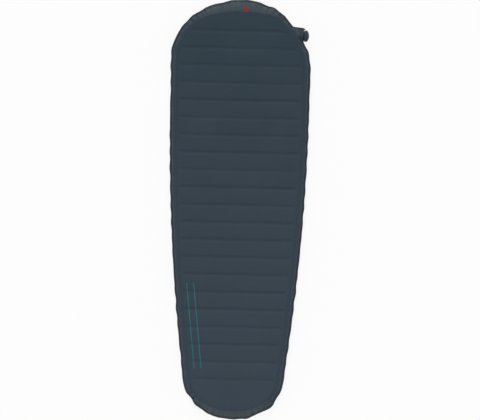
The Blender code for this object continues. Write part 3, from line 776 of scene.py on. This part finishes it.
def cut_rings(edge, rings):
    """The same rings laid flat, as the cover was cut."""
    steps = np.linalg.norm(np.diff(rings, axis=0), axis=2)
    reach = np.cumsum(steps[::-1], axis=0)[::-1]
    reach = np.vstack((reach, np.zeros(edge.count)))
    inner = rings[-1, :, :2]
    return inner + edge.normals * reach[:, :, None]


# Cloth simulation of the edge

def ring_quads(order, count, side):
    """Faces between rings that are given by their numbers, outermost first."""
    here = np.arange(count)
    ahead = (here + 1) % count
    quads = []
    for outer, inner in zip(order, order[1:]):
        corners = (outer * count + here, outer * count + ahead, inner * count + ahead, inner * count + here)
        quads.append(np.column_stack(corners))
    faces = np.vstack(quads)
    return faces if side > 0 else faces[:, ::-1]


def edge_waves(edge, lengths, side, corner, seed):
    """Uneven waves along the edge, of one size at the sides and another where the outline turns."""
    random = np.random.default_rng(seed)
    waves = np.zeros(edge.count)
    for length in lengths:
        turns = round(edge.along[-1] / length)
        waves += np.sin(2 * math.pi * turns * edge.along / edge.along[-1] + random.uniform(0, 2 * math.pi))
    size = side + (corner - side) * edge.gathered
    return waves / math.sqrt(len(lengths)) * size * (1 - edge.still)


def roll_share(count):
    """How far each ring is from the rim (0) to the flat (1)."""
    return np.clip((np.arange(count) - RIM_RINGS + 1) / ROLL_RINGS, 0, 1)


def fold_fullness(edge, count, seed):
    """How far the roll stands out between its sharp folds, ring by ring."""
    waves = np.abs(edge_waves(edge, FOLD_LENGTHS, PUCKER_SIDE, FOLD_CORNER, seed))
    spare = (PUCKER_SIDE + (FOLD_CORNER - PUCKER_SIDE) * edge.gathered) * (1 - edge.still)
    return np.outer(np.sin(math.pi * roll_share(count) ** FOLD_SKEW), waves - spare / 2)


def puckers(edge, rings, side, fullness):
    """Moves that start the edge off wavy: the rim up and down, the roll in and out."""
    rim_wave = edge_waves(edge, RIM_WAVE_LENGTHS, PUCKER_SIDE, PUCKER_CORNER, SEED)
    hoop = np.roll(rings, -1, axis=1) - np.roll(rings, 1, axis=1)
    normals = np.cross(hoop, np.gradient(rings, axis=0))
    normals /= np.linalg.norm(normals, axis=2, keepdims=True)
    moves = side * normals * fullness[:, :, None]
    moves[:, :, 2] += np.outer((1 - roll_share(len(rings))) ** 2, rim_wave)
    return moves


def join_rings(upper, lower):
    """Rings of both covers with one rim between them."""
    return np.concatenate((upper, lower[RIM_RINGS:]))


def part_rings(rings, count):
    """Rings of each cover again, both with the rim."""
    return rings[:count], np.concatenate((rings[:RIM_RINGS], rings[count:]))


def cloth_mesh(edge, rings, count):
    """The edge band of both covers, joined at one rim."""
    above = range(RIM_RINGS, count)
    below = range(count, len(rings))
    faces = np.vstack((
        ring_quads([*range(RIM_RINGS), *above], edge.count, 1),
        ring_quads([RIM_RINGS - 1, *below], edge.count, -1)))
    mesh = bpy.data.meshes.new("edge_cloth")
    mesh.from_pydata(rings.reshape(-1, 3).tolist(), [], faces.tolist())
    return mesh


def add_weights(piece, name, weights):
    group = piece.vertex_groups.new(name=name)
    for weight in np.unique(weights):
        if weight > 0:
            group.add(np.flatnonzero(weights == weight).tolist(), float(weight), "REPLACE")
    return name


def set_cloth(piece, pins, swelling):
    """Cloth settings for a coated fabric under air pressure."""
    settings = piece.modifiers.new("cloth", "CLOTH").settings
    settings.quality = 6
    settings.mass = 0.12
    settings.tension_stiffness = 30
    settings.compression_stiffness = 30
    settings.shear_stiffness = 12
    settings.bending_stiffness = 0.08
    settings.air_damping = 3
    settings.vertex_group_mass = pins
    settings.rest_shape_key = piece.data.shape_keys.key_blocks["cut"]
    settings.use_pressure = True
    settings.uniform_pressure_force = CLOTH_PRESSURE
    settings.vertex_group_pressure = swelling
    settings.effector_weights.gravity = 0


def cloth_weights(edge, shape, count):
    """Which points are held still and which ones the air swells."""
    held = np.zeros(shape)
    held[:] = np.round(edge.still, 1)
    for last in (count, shape[0]):
        held[last - BAND_RINGS - 1:last] = 1
    swelling = np.ones(shape)
    swelling[:RIM_RINGS] = 0
    return held.ravel(), swelling.ravel()


def blow_up(edge, upper, lower, upper_moves, lower_moves):
    """Lets the wavy edge settle under pressure. Gives each cover's moves from its plain rings."""
    count = len(upper)
    plain = join_rings(upper, lower)
    plain[:RIM_RINGS, :, 2] = MID_HEIGHT
    start = plain + join_rings(upper_moves, lower_moves)
    cut = cut_rings(edge, upper)
    flat = np.dstack((join_rings(cut, cut), np.full(plain.shape[:2], MID_HEIGHT)))
    piece = add_piece("edge_cloth", cloth_mesh(edge, start, count))
    piece.shape_key_add(name="Basis")
    piece.shape_key_add(name="cut").data.foreach_set("co", flat.ravel())
    held, swelling = cloth_weights(edge, plain.shape[:2], count)
    set_cloth(piece, add_weights(piece, "held", held), add_weights(piece, "swelling", swelling))
    for number in range(1, CLOTH_FRAMES + 1):
        scene.frame_set(number)
    points = np.zeros(plain.size)
    settled = piece.evaluated_get(bpy.context.evaluated_depsgraph_get())
    settled.data.vertices.foreach_get("co", points)
    moves = points.reshape(plain.shape) - start
    reach = np.linalg.norm(moves, axis=2, keepdims=True)
    moves *= np.minimum(1, CLOTH_REACH / np.maximum(reach, TINY))
    bpy.data.objects.remove(piece)
    scene.frame_set(1)
    return part_rings(start - plain + moves, count)


def outline_waves(edge, rings, moves):
    """The edge stands out a little where a groove meets it, and wanders, most where it turns.

    What the simulation drew the rim in on average is taken back.
    """
    y = edge.points[:, 1]
    inside = ease((GROOVE_FIRST + GROOVE_PITCH / 2 - y) / GROOVE_PITCH)
    inside = inside * ease((y - GROOVE_LAST + GROOVE_PITCH / 2) / GROOVE_PITCH)
    scallop = np.cos(2 * math.pi * (GROOVE_FIRST - y) / GROOVE_PITCH)
    drawn_in = -np.sum(moves[0, :, :2] * edge.normals, axis=1).mean()
    size = (SCALLOP * scallop * inside * np.abs(edge.normals[:, 0]) + drawn_in) * (1 - edge.still)
    size = size + edge_waves(edge, WANDER_LENGTHS, WANDER_SIDE, WANDER_CORNER, WANDER_SEED)
    for across, along, rise, reach in EDGE_BULGES:
        away = np.hypot(edge.points[:, 0] - across * MM, edge.points[:, 1] - along * MM)
        size = size + rise * MM * np.exp(-(away / (reach * MM)) ** 2)
    fade = np.ones(len(rings))
    fade[RIM_RINGS:] = np.linspace(1, 0, len(rings) - RIM_RINGS + 1)[1:]
    plan = edge.normals * size[:, None]
    moves = np.zeros(rings.shape)
    moves[:, :, :2] = plan * fade[:, None, None]
    return moves


# Covers

def flat_points(edge, ring):
    """Points inside the last ring, in rows that follow the grooves, and how deep inside each lies."""
    tree = KDTree(edge.count)
    for i, (x, y) in enumerate(ring):
        tree.insert((x, y, 0), i)
    tree.balance()
    rows = np.arange(-round(PAD_LENGTH / ROW_STEP), round(PAD_LENGTH / ROW_STEP)) * ROW_STEP + GROOVE_FIRST
    rows = rows[np.abs(rows) < PAD_LENGTH / 2]
    columns = np.arange(-PAD_WIDTH / 2, PAD_WIDTH / 2, COLUMN_STEP)
    points = []
    depths = []
    for y in rows:
        for x in columns:
            near, i, distance = tree.find((x, y, 0))
            inward = (near.x - x) * edge.normals[i, 0] + (near.y - y) * edge.normals[i, 1]
            if inward > FLAT_MARGIN:
                points.append((x, y))
                depths.append(distance)
    return np.array(points), np.array(depths)


def fill_ring(ring, points):
    """Triangles over the points inside a ring, in the numbering ring first, then points."""
    places = [Vector(point) for point in np.vstack((ring, points))]
    count = len(ring)
    rim = [(i, (i + 1) % count) for i in range(count)]
    inside_only = 1
    return np.array(delaunay_2d_cdt(places, rim, [], inside_only, FILL_PRECISION)[2])


def groove_tree():
    """Presses rows of soft grooves into a flat cover and crowns the slats between them."""
    sizes = ["First", "Pitch", "Count", "Half Width", "Depth", "Crown", "Uneven", "Side"]
    nodes, given = geometry_tree("slat grooves", sizes)
    place = nodes.add("GeometryNodeInputPosition")
    across = place.part(0)
    along = place.part(1)
    share = (given["First"] - along) / given["Pitch"] + 0.5
    number = share.floor().high(0.0).low(given["Count"] - 1)
    lane = nodes.add("ShaderNodeCombineXYZ", {0: across * 7.0, 1: number * 3.7, 2: 0.0})
    wander = (lane.noise(1.0, 1.0) - 0.5) * GROOVE_WANDER
    distance = (along + number * given["Pitch"] - given["First"] + wander).size()
    random = nodes.add(
        "FunctionNodeRandomValue", {2: 0.0, 3: 1.0, 7: number, 8: SEED}, output=1, data_type="FLOAT")
    fold = ((distance / given["Half Width"]).low(1.0) * (math.pi / 2)).cosine()
    dip = fold * fold * given["Depth"] * (1 + random * DEPTH_SPREAD)
    swell = 0.5 - ((distance * 2 / given["Pitch"]).low(1.0) * math.pi).cosine() * 0.5
    rolling = (place.noise(5.0, 2.0) - 0.5) * given["Uneven"]
    inside = nodes.add("GeometryNodeInputNamedAttribute", {"Name": "inside"}, data_type="FLOAT")
    rise = (swell * given["Crown"] - dip + rolling) * inside * given["Side"]
    offset = nodes.add("ShaderNodeCombineXYZ", {0: 0.0, 1: 0.0, 2: rise})
    marked = nodes.add(
        "GeometryNodeStoreNamedAttribute",
        {"Geometry": given["Geometry"], "Name": "groove", "Value": fold * fold * inside},
        data_type="FLOAT", domain="POINT")
    moved = nodes.add("GeometryNodeSetPosition", {"Geometry": marked, "Offset": offset})
    close_tree(nodes, moved, given["Material"])
    return nodes


def mark_edge(mesh, edge, fullness):
    """Marks for the fabric's colour: the welded rim, the painted highlight along the roll, the painted
    shade in its crease, the folds' crests and hollows for rub wear, painted highlight and painted shade,
    and the painted sheen on the end slopes.
    """
    number = np.arange(len(fullness))
    last_roll = RIM_RINGS + ROLL_RINGS - 1
    everywhere = np.ones(edge.count)
    marks = {
        "weld": np.outer(number < RIM_RINGS, everywhere),
        "roll_highlight": np.outer(np.exp(-((number - ROLL_HIGHLIGHT_RING) / MARK_SPREAD) ** 2), everywhere),
        "crease_shade": np.outer(np.exp(-((number - last_roll) / MARK_SPREAD) ** 2), everywhere),
        "end_sheen": np.outer(number < last_roll, np.maximum(edge.head * HEAD_SHEEN_SHARE, edge.foot)),
        "fold_wear_and_shade": np.clip(fullness / FOLD_CORNER * 2, -1, 1),
    }
    for name, values in marks.items():
        numbers = np.zeros(len(mesh.vertices))
        numbers[:values.size] = values.ravel()
        set_numbers(mesh, name, numbers)


def make_cover(name, side, edge, rings, plain_rings, fullness, tree, material):
    """Fabric cover: upper with side 1, lower with side -1. Gives the piece and its flat cut's edge."""
    ring = rings[-1, :, :2]
    points, depths = flat_points(edge, ring)
    flat = np.column_stack((points, np.full(len(points), MID_HEIGHT + side * MID_HEIGHT)))
    first = (len(rings) - 1) * edge.count
    triangles = fill_ring(ring, points) + first
    faces = ring_quads(range(len(rings)), edge.count, side).tolist()
    faces += (triangles if side > 0 else triangles[:, ::-1]).tolist()
    mesh = bpy.data.meshes.new(name)
    mesh.from_pydata(np.vstack((rings.reshape(-1, 3), flat)).tolist(), [], faces)
    mesh.shade_smooth()
    cut = cut_rings(edge, plain_rings)
    inside = ease((depths + FLAT_BAND - GROOVE_RAIL) / GROOVE_RUN_OUT)
    set_numbers(mesh, "inside", np.concatenate((np.zeros(first + edge.count), inside)))
    mark_edge(mesh, edge, fullness)
    set_cut_map(mesh, np.vstack((cut.reshape(-1, 2), points)))
    piece = add_piece(name, mesh, material)
    upper = side > 0
    run_tree(piece, tree, {
        "Material": material,
        "First": GROOVE_FIRST,
        "Pitch": GROOVE_PITCH,
        "Count": float(GROOVE_COUNT),
        "Half Width": GROOVE_HALF_WIDTH,
        "Depth": GROOVE_DEPTH,
        "Crown": SLAT_CROWN if upper else 0.0,
        "Uneven": SLAT_UNEVEN if upper else 0.0,
        "Side": float(side),
    })
    cloth = piece.modifiers.new("fabric", "SOLIDIFY")
    cloth.thickness = FABRIC
    cloth.offset = -1
    bake(piece)
    return piece, cut[0]


def declare_cover(piece, node):
    """Hides the solid that the cover stands for and puts the cover on the pad's body."""
    stand_in(piece, node, "pad")


# Foam core

def slot_walls(edge):
    """The two sides that bound the slots' ends, each sorted along the pad."""
    ring = inset(edge, edge.roll + SLOT_RAIL)
    sides = (ring[ring[:, 0] < 0], ring[ring[:, 0] > 0])
    return [side[np.argsort(side[:, 1])] for side in sides]


def slot_loop(walls, y, grow):
    """Long slot with round ends, counterclockwise."""
    turn = np.linspace(0, 2 * math.pi, SLOT_STEPS, endpoint=False)
    share = np.cos(turn)
    from_tip = np.clip((1 - np.abs(share)) * PAD_WIDTH / 2 / SLOT_ROUND, 0, 1)
    across = np.sign(np.sin(turn)) * (SLOT_HALF_WIDTH + grow) * np.sqrt(1 - (1 - from_tip) ** 2)
    left, right = [np.interp(y + across, wall[:, 1], wall[:, 0]) for wall in walls]
    return np.column_stack((left + (right - left) * (share + 1) / 2, y + across))


def add_loop(bm, plan, height):
    return [bm.verts.new((x, y, height)) for x, y in plan]


def bridge(bm, first, second):
    for i, vertex in enumerate(first):
        bm.faces.new((first[i - 1], vertex, second[i], second[i - 1]))


def fill_loops(bm, loops):
    edges = []
    for loop in loops:
        for i, vertex in enumerate(loop):
            edges.append(bm.edges.get((loop[i - 1], vertex)) or bm.edges.new((loop[i - 1], vertex)))
    bmesh.ops.triangle_fill(bm, edges=edges, use_beauty=True)


def foam_steps(half):
    """Inset and height of each ring round the foam, from the top face to the bottom face."""
    turn = np.linspace(0, math.pi / 2, CORNER_STEPS)
    reach = FOAM_SETBACK - FOAM_BEVEL_REACH * np.sin(turn)
    height = half - FOAM_BEVEL_HEIGHT * (1 - np.cos(turn))
    steps = list(zip(reach, height))
    return steps + [(far, -high) for far, high in reversed(steps)]


def make_foam(edge, material):
    """Slotted slab with rounded edges and softened slots."""
    half = MID_HEIGHT - FABRIC - CLEARANCE
    bm = bmesh.new()
    outer = []
    for reach, height in foam_steps(half):
        outer.append(add_loop(bm, inset(edge, edge.roll + reach), MID_HEIGHT + height))
    for first, second in zip(outer, outer[1:]):
        bridge(bm, first, second)
    tops = [outer[0]]
    bottoms = [outer[-1]]
    walls = slot_walls(edge)
    for number in range(GROOVE_COUNT):
        y = GROOVE_FIRST - GROOVE_PITCH * number
        heights = ((SLOT_LIP, half), (0, half - SLOT_LIP), (0, SLOT_LIP - half), (SLOT_LIP, -half))
        loops = [add_loop(bm, slot_loop(walls, y, grow), MID_HEIGHT + z) for grow, z in heights]
        for first, second in zip(loops, loops[1:]):
            bridge(bm, first, second)
        tops.append(loops[0])
        bottoms.append(loops[-1])
    fill_loops(bm, tops)
    fill_loops(bm, bottoms)
    mesh = close_mesh(bm, "slotted_foam")
    smooth_shade(mesh, 35)
    piece = add_piece("slotted_foam", mesh, material)
    stand_in(piece, "foam_core", "pad")
    return piece


# Valve, modelled along its own Z axis and then turned to +X

def arc(radius, height, size, start, end=0.0, steps=CORNER_STEPS):
    """Round stretch of a profile about a middle, from one angle to another."""
    turn = np.linspace(start, end, steps)
    return [(radius + size * math.cos(angle), height + size * math.sin(angle)) for angle in turn]


def turned_mesh(name, profile, closed):
    """Solid of revolution of a profile of radii and heights. An open one starts and ends on the axis."""
    bm = bmesh.new()
    points = [bm.verts.new((radius, 0, height)) for radius, height in profile]
    pairs = list(zip(points, points[1:]))
    if closed:
        pairs.append((points[-1], points[0]))
    edges = [bm.edges.new(pair) for pair in pairs]
    bmesh.ops.spin(
        bm, geom=points + edges, axis=(0, 0, 1), cent=(0, 0, 0), angle=2 * math.pi, steps=TURN_STEPS,
        use_merge=True)
    bmesh.ops.remove_doubles(bm, verts=bm.verts, dist=0.001 * MM)
    return close_mesh(bm, name)


def thread_mesh(name, radius, turns, phase):
    """Helical ridge with closed ends."""
    curve = bpy.data.curves.new(name, "CURVE")
    curve.dimensions = "3D"
    curve.twist_mode = "Z_UP"
    curve.bevel_depth = THREAD_RIDGE
    curve.bevel_resolution = 2
    curve.use_fill_caps = True
    spline = curve.splines.new("POLY")
    spline.points.add(round(turns * THREAD_STEPS))
    for i, point in enumerate(spline.points):
        angle = phase + 2 * math.pi * i / THREAD_STEPS
        height = THREAD_START + THREAD_LEAD * i / THREAD_STEPS
        point.co = (radius * math.cos(angle), radius * math.sin(angle), height, 1)
    guide = add_piece(name, curve)
    graph = bpy.context.evaluated_depsgraph_get()
    mesh = bpy.data.meshes.new_from_object(guide.evaluated_get(graph))
    bpy.data.objects.remove(guide)
    bm = bmesh.new()
    bm.from_mesh(mesh)
    bmesh.ops.remove_doubles(bm, verts=bm.verts, dist=0.01 * MM)
    return close_mesh(bm, name)


def boat_mesh():
    """Lens-shaped weld base."""
    offsets = np.linspace(-BOAT_LENGTH / 2, BOAT_LENGTH / 2, BOAT_STEPS + 1)
    lifts = boat_lift(offsets)
    section = list(zip(offsets, -lifts)) + list(zip(offsets[-2:0:-1], lifts[-2:0:-1]))
    bm = bmesh.new()
    face = bm.faces.new([bm.verts.new((x, y, -BOAT_DEPTH)) for x, y in section])
    wall = bmesh.ops.extrude_face_region(bm, geom=[face])
    raised = [item for item in wall["geom"] if isinstance(item, bmesh.types.BMVert)]
    for vertex in raised:
        vertex.co.z = -ear_fall(vertex.co.x)
    return close_mesh(bm, "boat")


def combine(piece, mesh, operation):
    """Joins a mesh to a piece or cuts it out of it."""
    tool = add_piece("tool", mesh)
    step = piece.modifiers.new("combine", "BOOLEAN")
    step.object = tool
    step.operation = operation
    step.solver = "EXACT"
    bake(piece)
    bpy.data.objects.remove(tool)


def place_valve_piece(piece, node, body, material):
    """Turns a finished valve piece to its place, hides the solid it stands for and puts it on its body."""
    turn_to_x = Matrix(((0, 0, 1), (1, 0, 0), (0, 1, 0))).to_4x4()
    piece.data.transform(Matrix.Translation(VALVE) @ turn_to_x)
    piece.data.materials.clear()
    piece.data.materials.append(material)
    smooth_shade(piece.data, 32)
    stand_in(piece, node, body)


def make_valve_base(material):
    """Weld base, collar and threaded neck, with a stepped bore."""
    rounding = 0.6 * MM
    core = [(0, NECK_END)]
    core += arc(NECK_RADIUS - rounding, NECK_END - rounding, rounding, math.pi / 2)
    core += [(NECK_RADIUS, COLLAR_TOP + rounding), (NECK_RADIUS + rounding, COLLAR_TOP)]
    core += arc(COLLAR_RADIUS - rounding, COLLAR_TOP - rounding, rounding, math.pi / 2)
    core += [(COLLAR_RADIUS, CLEARANCE), (CORE_RADIUS, CLEARANCE), (CORE_RADIUS, -BOAT_DEPTH / 2)]
    core += [(SLEEVE_RADIUS, -BOAT_DEPTH / 2), (SLEEVE_RADIUS, SLEEVE_END), (0, SLEEVE_END)]
    piece = add_piece("weld_base", turned_mesh("weld_base", core, False))
    combine(piece, boat_mesh(), "UNION")
    ridge = NECK_RADIUS + THREAD_CREST - THREAD_RIDGE
    combine(piece, thread_mesh("neck_thread", ridge, NECK_TURNS, 0), "UNION")
    bore = [
        (0, NECK_END + CUT_PAST),
        (MOUTH_BORE_RADIUS, NECK_END + CUT_PAST),
        (MOUTH_BORE_RADIUS, -BORE_STEP_DEPTH),
        (BORE_RADIUS, -BORE_STEP_DEPTH),
        (BORE_RADIUS, SLEEVE_END - CUT_PAST),
        (0, SLEEVE_END - CUT_PAST),
    ]
    combine(piece, turned_mesh("bore", bore, False), "DIFFERENCE")
    place_valve_piece(piece, "valve_base", "pad", material)


def flute_tree():
    """Presses finger flutes into a round knob that stands along Z."""
    nodes, given = geometry_tree("knob flutes", ["Count", "Depth", "Radius", "Start Radius", "Low"])
    place = nodes.add("GeometryNodeInputPosition")
    across = place.part(0)
    along = place.part(1)
    radius = (across * across + along * along) ** 0.5
    angle = along.angle(across)
    hollow = ((angle * given["Count"]).cosine() * 0.5 + 0.5) ** FLUTE_SHARPNESS
    reach = radius.step(given["Start Radius"], given["Radius"])
    above = place.part(2).step(given["Low"], given["Low"] + FLUTE_FADE)
    depth = hollow * reach * above * given["Depth"] / radius
    offset = nodes.add("ShaderNodeCombineXYZ", {0: across * depth * -1, 1: along * depth * -1, 2: 0.0})
    moved = nodes.add("GeometryNodeSetPosition", {"Geometry": given["Geometry"], "Offset": offset})
    close_tree(nodes, moved, given["Material"])
    return nodes


def knob_profile():
    """Closed profile of the knob, from the mouth over the outside and back through the inside."""
    rounding = 0.7 * MM
    profile = [(MOUTH_RADIUS, KNOB_END - MOUTH_CHAMFER), (MOUTH_RADIUS + MOUTH_CHAMFER, KNOB_END)]
    dome_centre = KNOB_END - math.sqrt(KNOB_DOME_RADIUS ** 2 - KNOB_FACE_RADIUS ** 2)
    face_turn = math.acos(KNOB_FACE_RADIUS / KNOB_DOME_RADIUS)
    edge_turn = math.acos((KNOB_RADIUS - KNOB_EDGE) / (KNOB_DOME_RADIUS - KNOB_EDGE))
    profile += arc(0, dome_centre, KNOB_DOME_RADIUS, face_turn, edge_turn, DOME_STEPS)
    skirt_top = dome_centre + (KNOB_DOME_RADIUS - KNOB_EDGE) * math.sin(edge_turn)
    profile += arc(KNOB_RADIUS - KNOB_EDGE, skirt_top, KNOB_EDGE, edge_turn)[1:]
    for height in np.linspace(skirt_top, SKIRT_END + rounding, SKIRT_STEPS)[1:-1]:
        profile.append((KNOB_RADIUS, height))
    profile += arc(KNOB_RADIUS - rounding, SKIRT_END + rounding, rounding, 0.0, -math.pi / 2)
    profile += [
        (SKIRT_INNER_RADIUS, SKIRT_END),
        (SKIRT_INNER_RADIUS, KNOB_RIM),
        (RETAINER_RADIUS + CLEARANCE, KNOB_RIM),
        (RETAINER_RADIUS + CLEARANCE, RETAINER_SEAT),
        (WIPER_SEAT_RADIUS, RETAINER_SEAT),
        (WIPER_SEAT_RADIUS, WIPER_SEAT),
        (KNOB_BORE_RADIUS, WIPER_SEAT),
        (KNOB_BORE_RADIUS, KNOB_CEILING),
        (MOUTH_RADIUS, KNOB_CEILING),
    ]
    return profile


def make_knob(material):
    """Fluted screw knob with a thread inside and a mouth in its face."""
    piece = add_piece("screw_knob", turned_mesh("screw_knob", knob_profile(), True), material)
    run_tree(piece, flute_tree(), {
        "Material": material,
        "Count": float(FLUTE_COUNT),
        "Depth": FLUTE_DEPTH,
        "Radius": KNOB_RADIUS,
        "Start Radius": KNOB_RADIUS - FLUTE_RUN_OUT,
        "Low": SKIRT_END + FLUTE_LIP,
    })
    bake(piece)
    ridge = KNOB_BORE_RADIUS - THREAD_CREST + THREAD_RIDGE
    combine(piece, thread_mesh("knob_thread", ridge, KNOB_TURNS, math.pi), "UNION")
    place_valve_piece(piece, "valve_knob", "knob", material)


def finish_nodes(names, material):
    """Gives solids that stay as they are a better finish."""
    for name in names:
        for slot in frame["nodes"][name].material_slots:
            slot.material = material


# The whole pad

def make_covers(edge, upper_fabric, lower_fabric):
    """Both covers, upper one first, with folds that the simulation settles."""
    sides = (1, -1)
    plain = [cover_rings(edge, side) for side in sides]
    fullness = [fold_fullness(edge, len(plain[0]), SEED + number) for number in (1, 2)]
    folds = [puckers(edge, *start) for start in zip(plain, sides, fullness)]
    moves = folds
    settled = blow_up(edge, *plain, *folds)
    moves = [move + fold * FOLD_KEEP for move, fold in zip(settled, folds)]
    waves = outline_waves(edge, plain[0], moves[0])
    puffed = [rings + move + waves for rings, move in zip(plain, moves)]
    puffed[1][:, :, 2] = np.maximum(puffed[1][:, :, 2], 0)
    tree = groove_tree()
    top, cut = make_cover("top_fabric", 1, edge, puffed[0], plain[0], fullness[0], tree, upper_fabric)
    base, cut_below = make_cover(
        "base_fabric", -1, edge, puffed[1], plain[1], fullness[1], tree, lower_fabric)
    declare_cover(top, "upper_cover")
    declare_cover(base, "lower_cover")


def main():
    scene.view_settings.view_transform = "Standard"
    make_camera()
    make_world()
    make_key_light()
    make_floor()
    black = make_moulded_plastic("black_plastic", rgb(0.018, 0.028, 0.036), rgb(0.028, 0.041, 0.050), 0.25)
    grey = make_moulded_plastic("grey_plastic", rgb(0.085, 0.085, 0.09), rgb(0.115, 0.115, 0.12), 0.4)
    edge = trace_edge()
    foam = make_foam(edge, make_foam_finish())
    make_covers(edge, make_upper_fabric(), make_lower_fabric())
    make_valve_base(black)
    make_knob(black)
    finish_nodes(["inlet_screen", "valve_pintle", "wiper_retainer"], grey)
    finish_nodes(["pintle_seal", "neck_wiper"], make_rubber())


main()
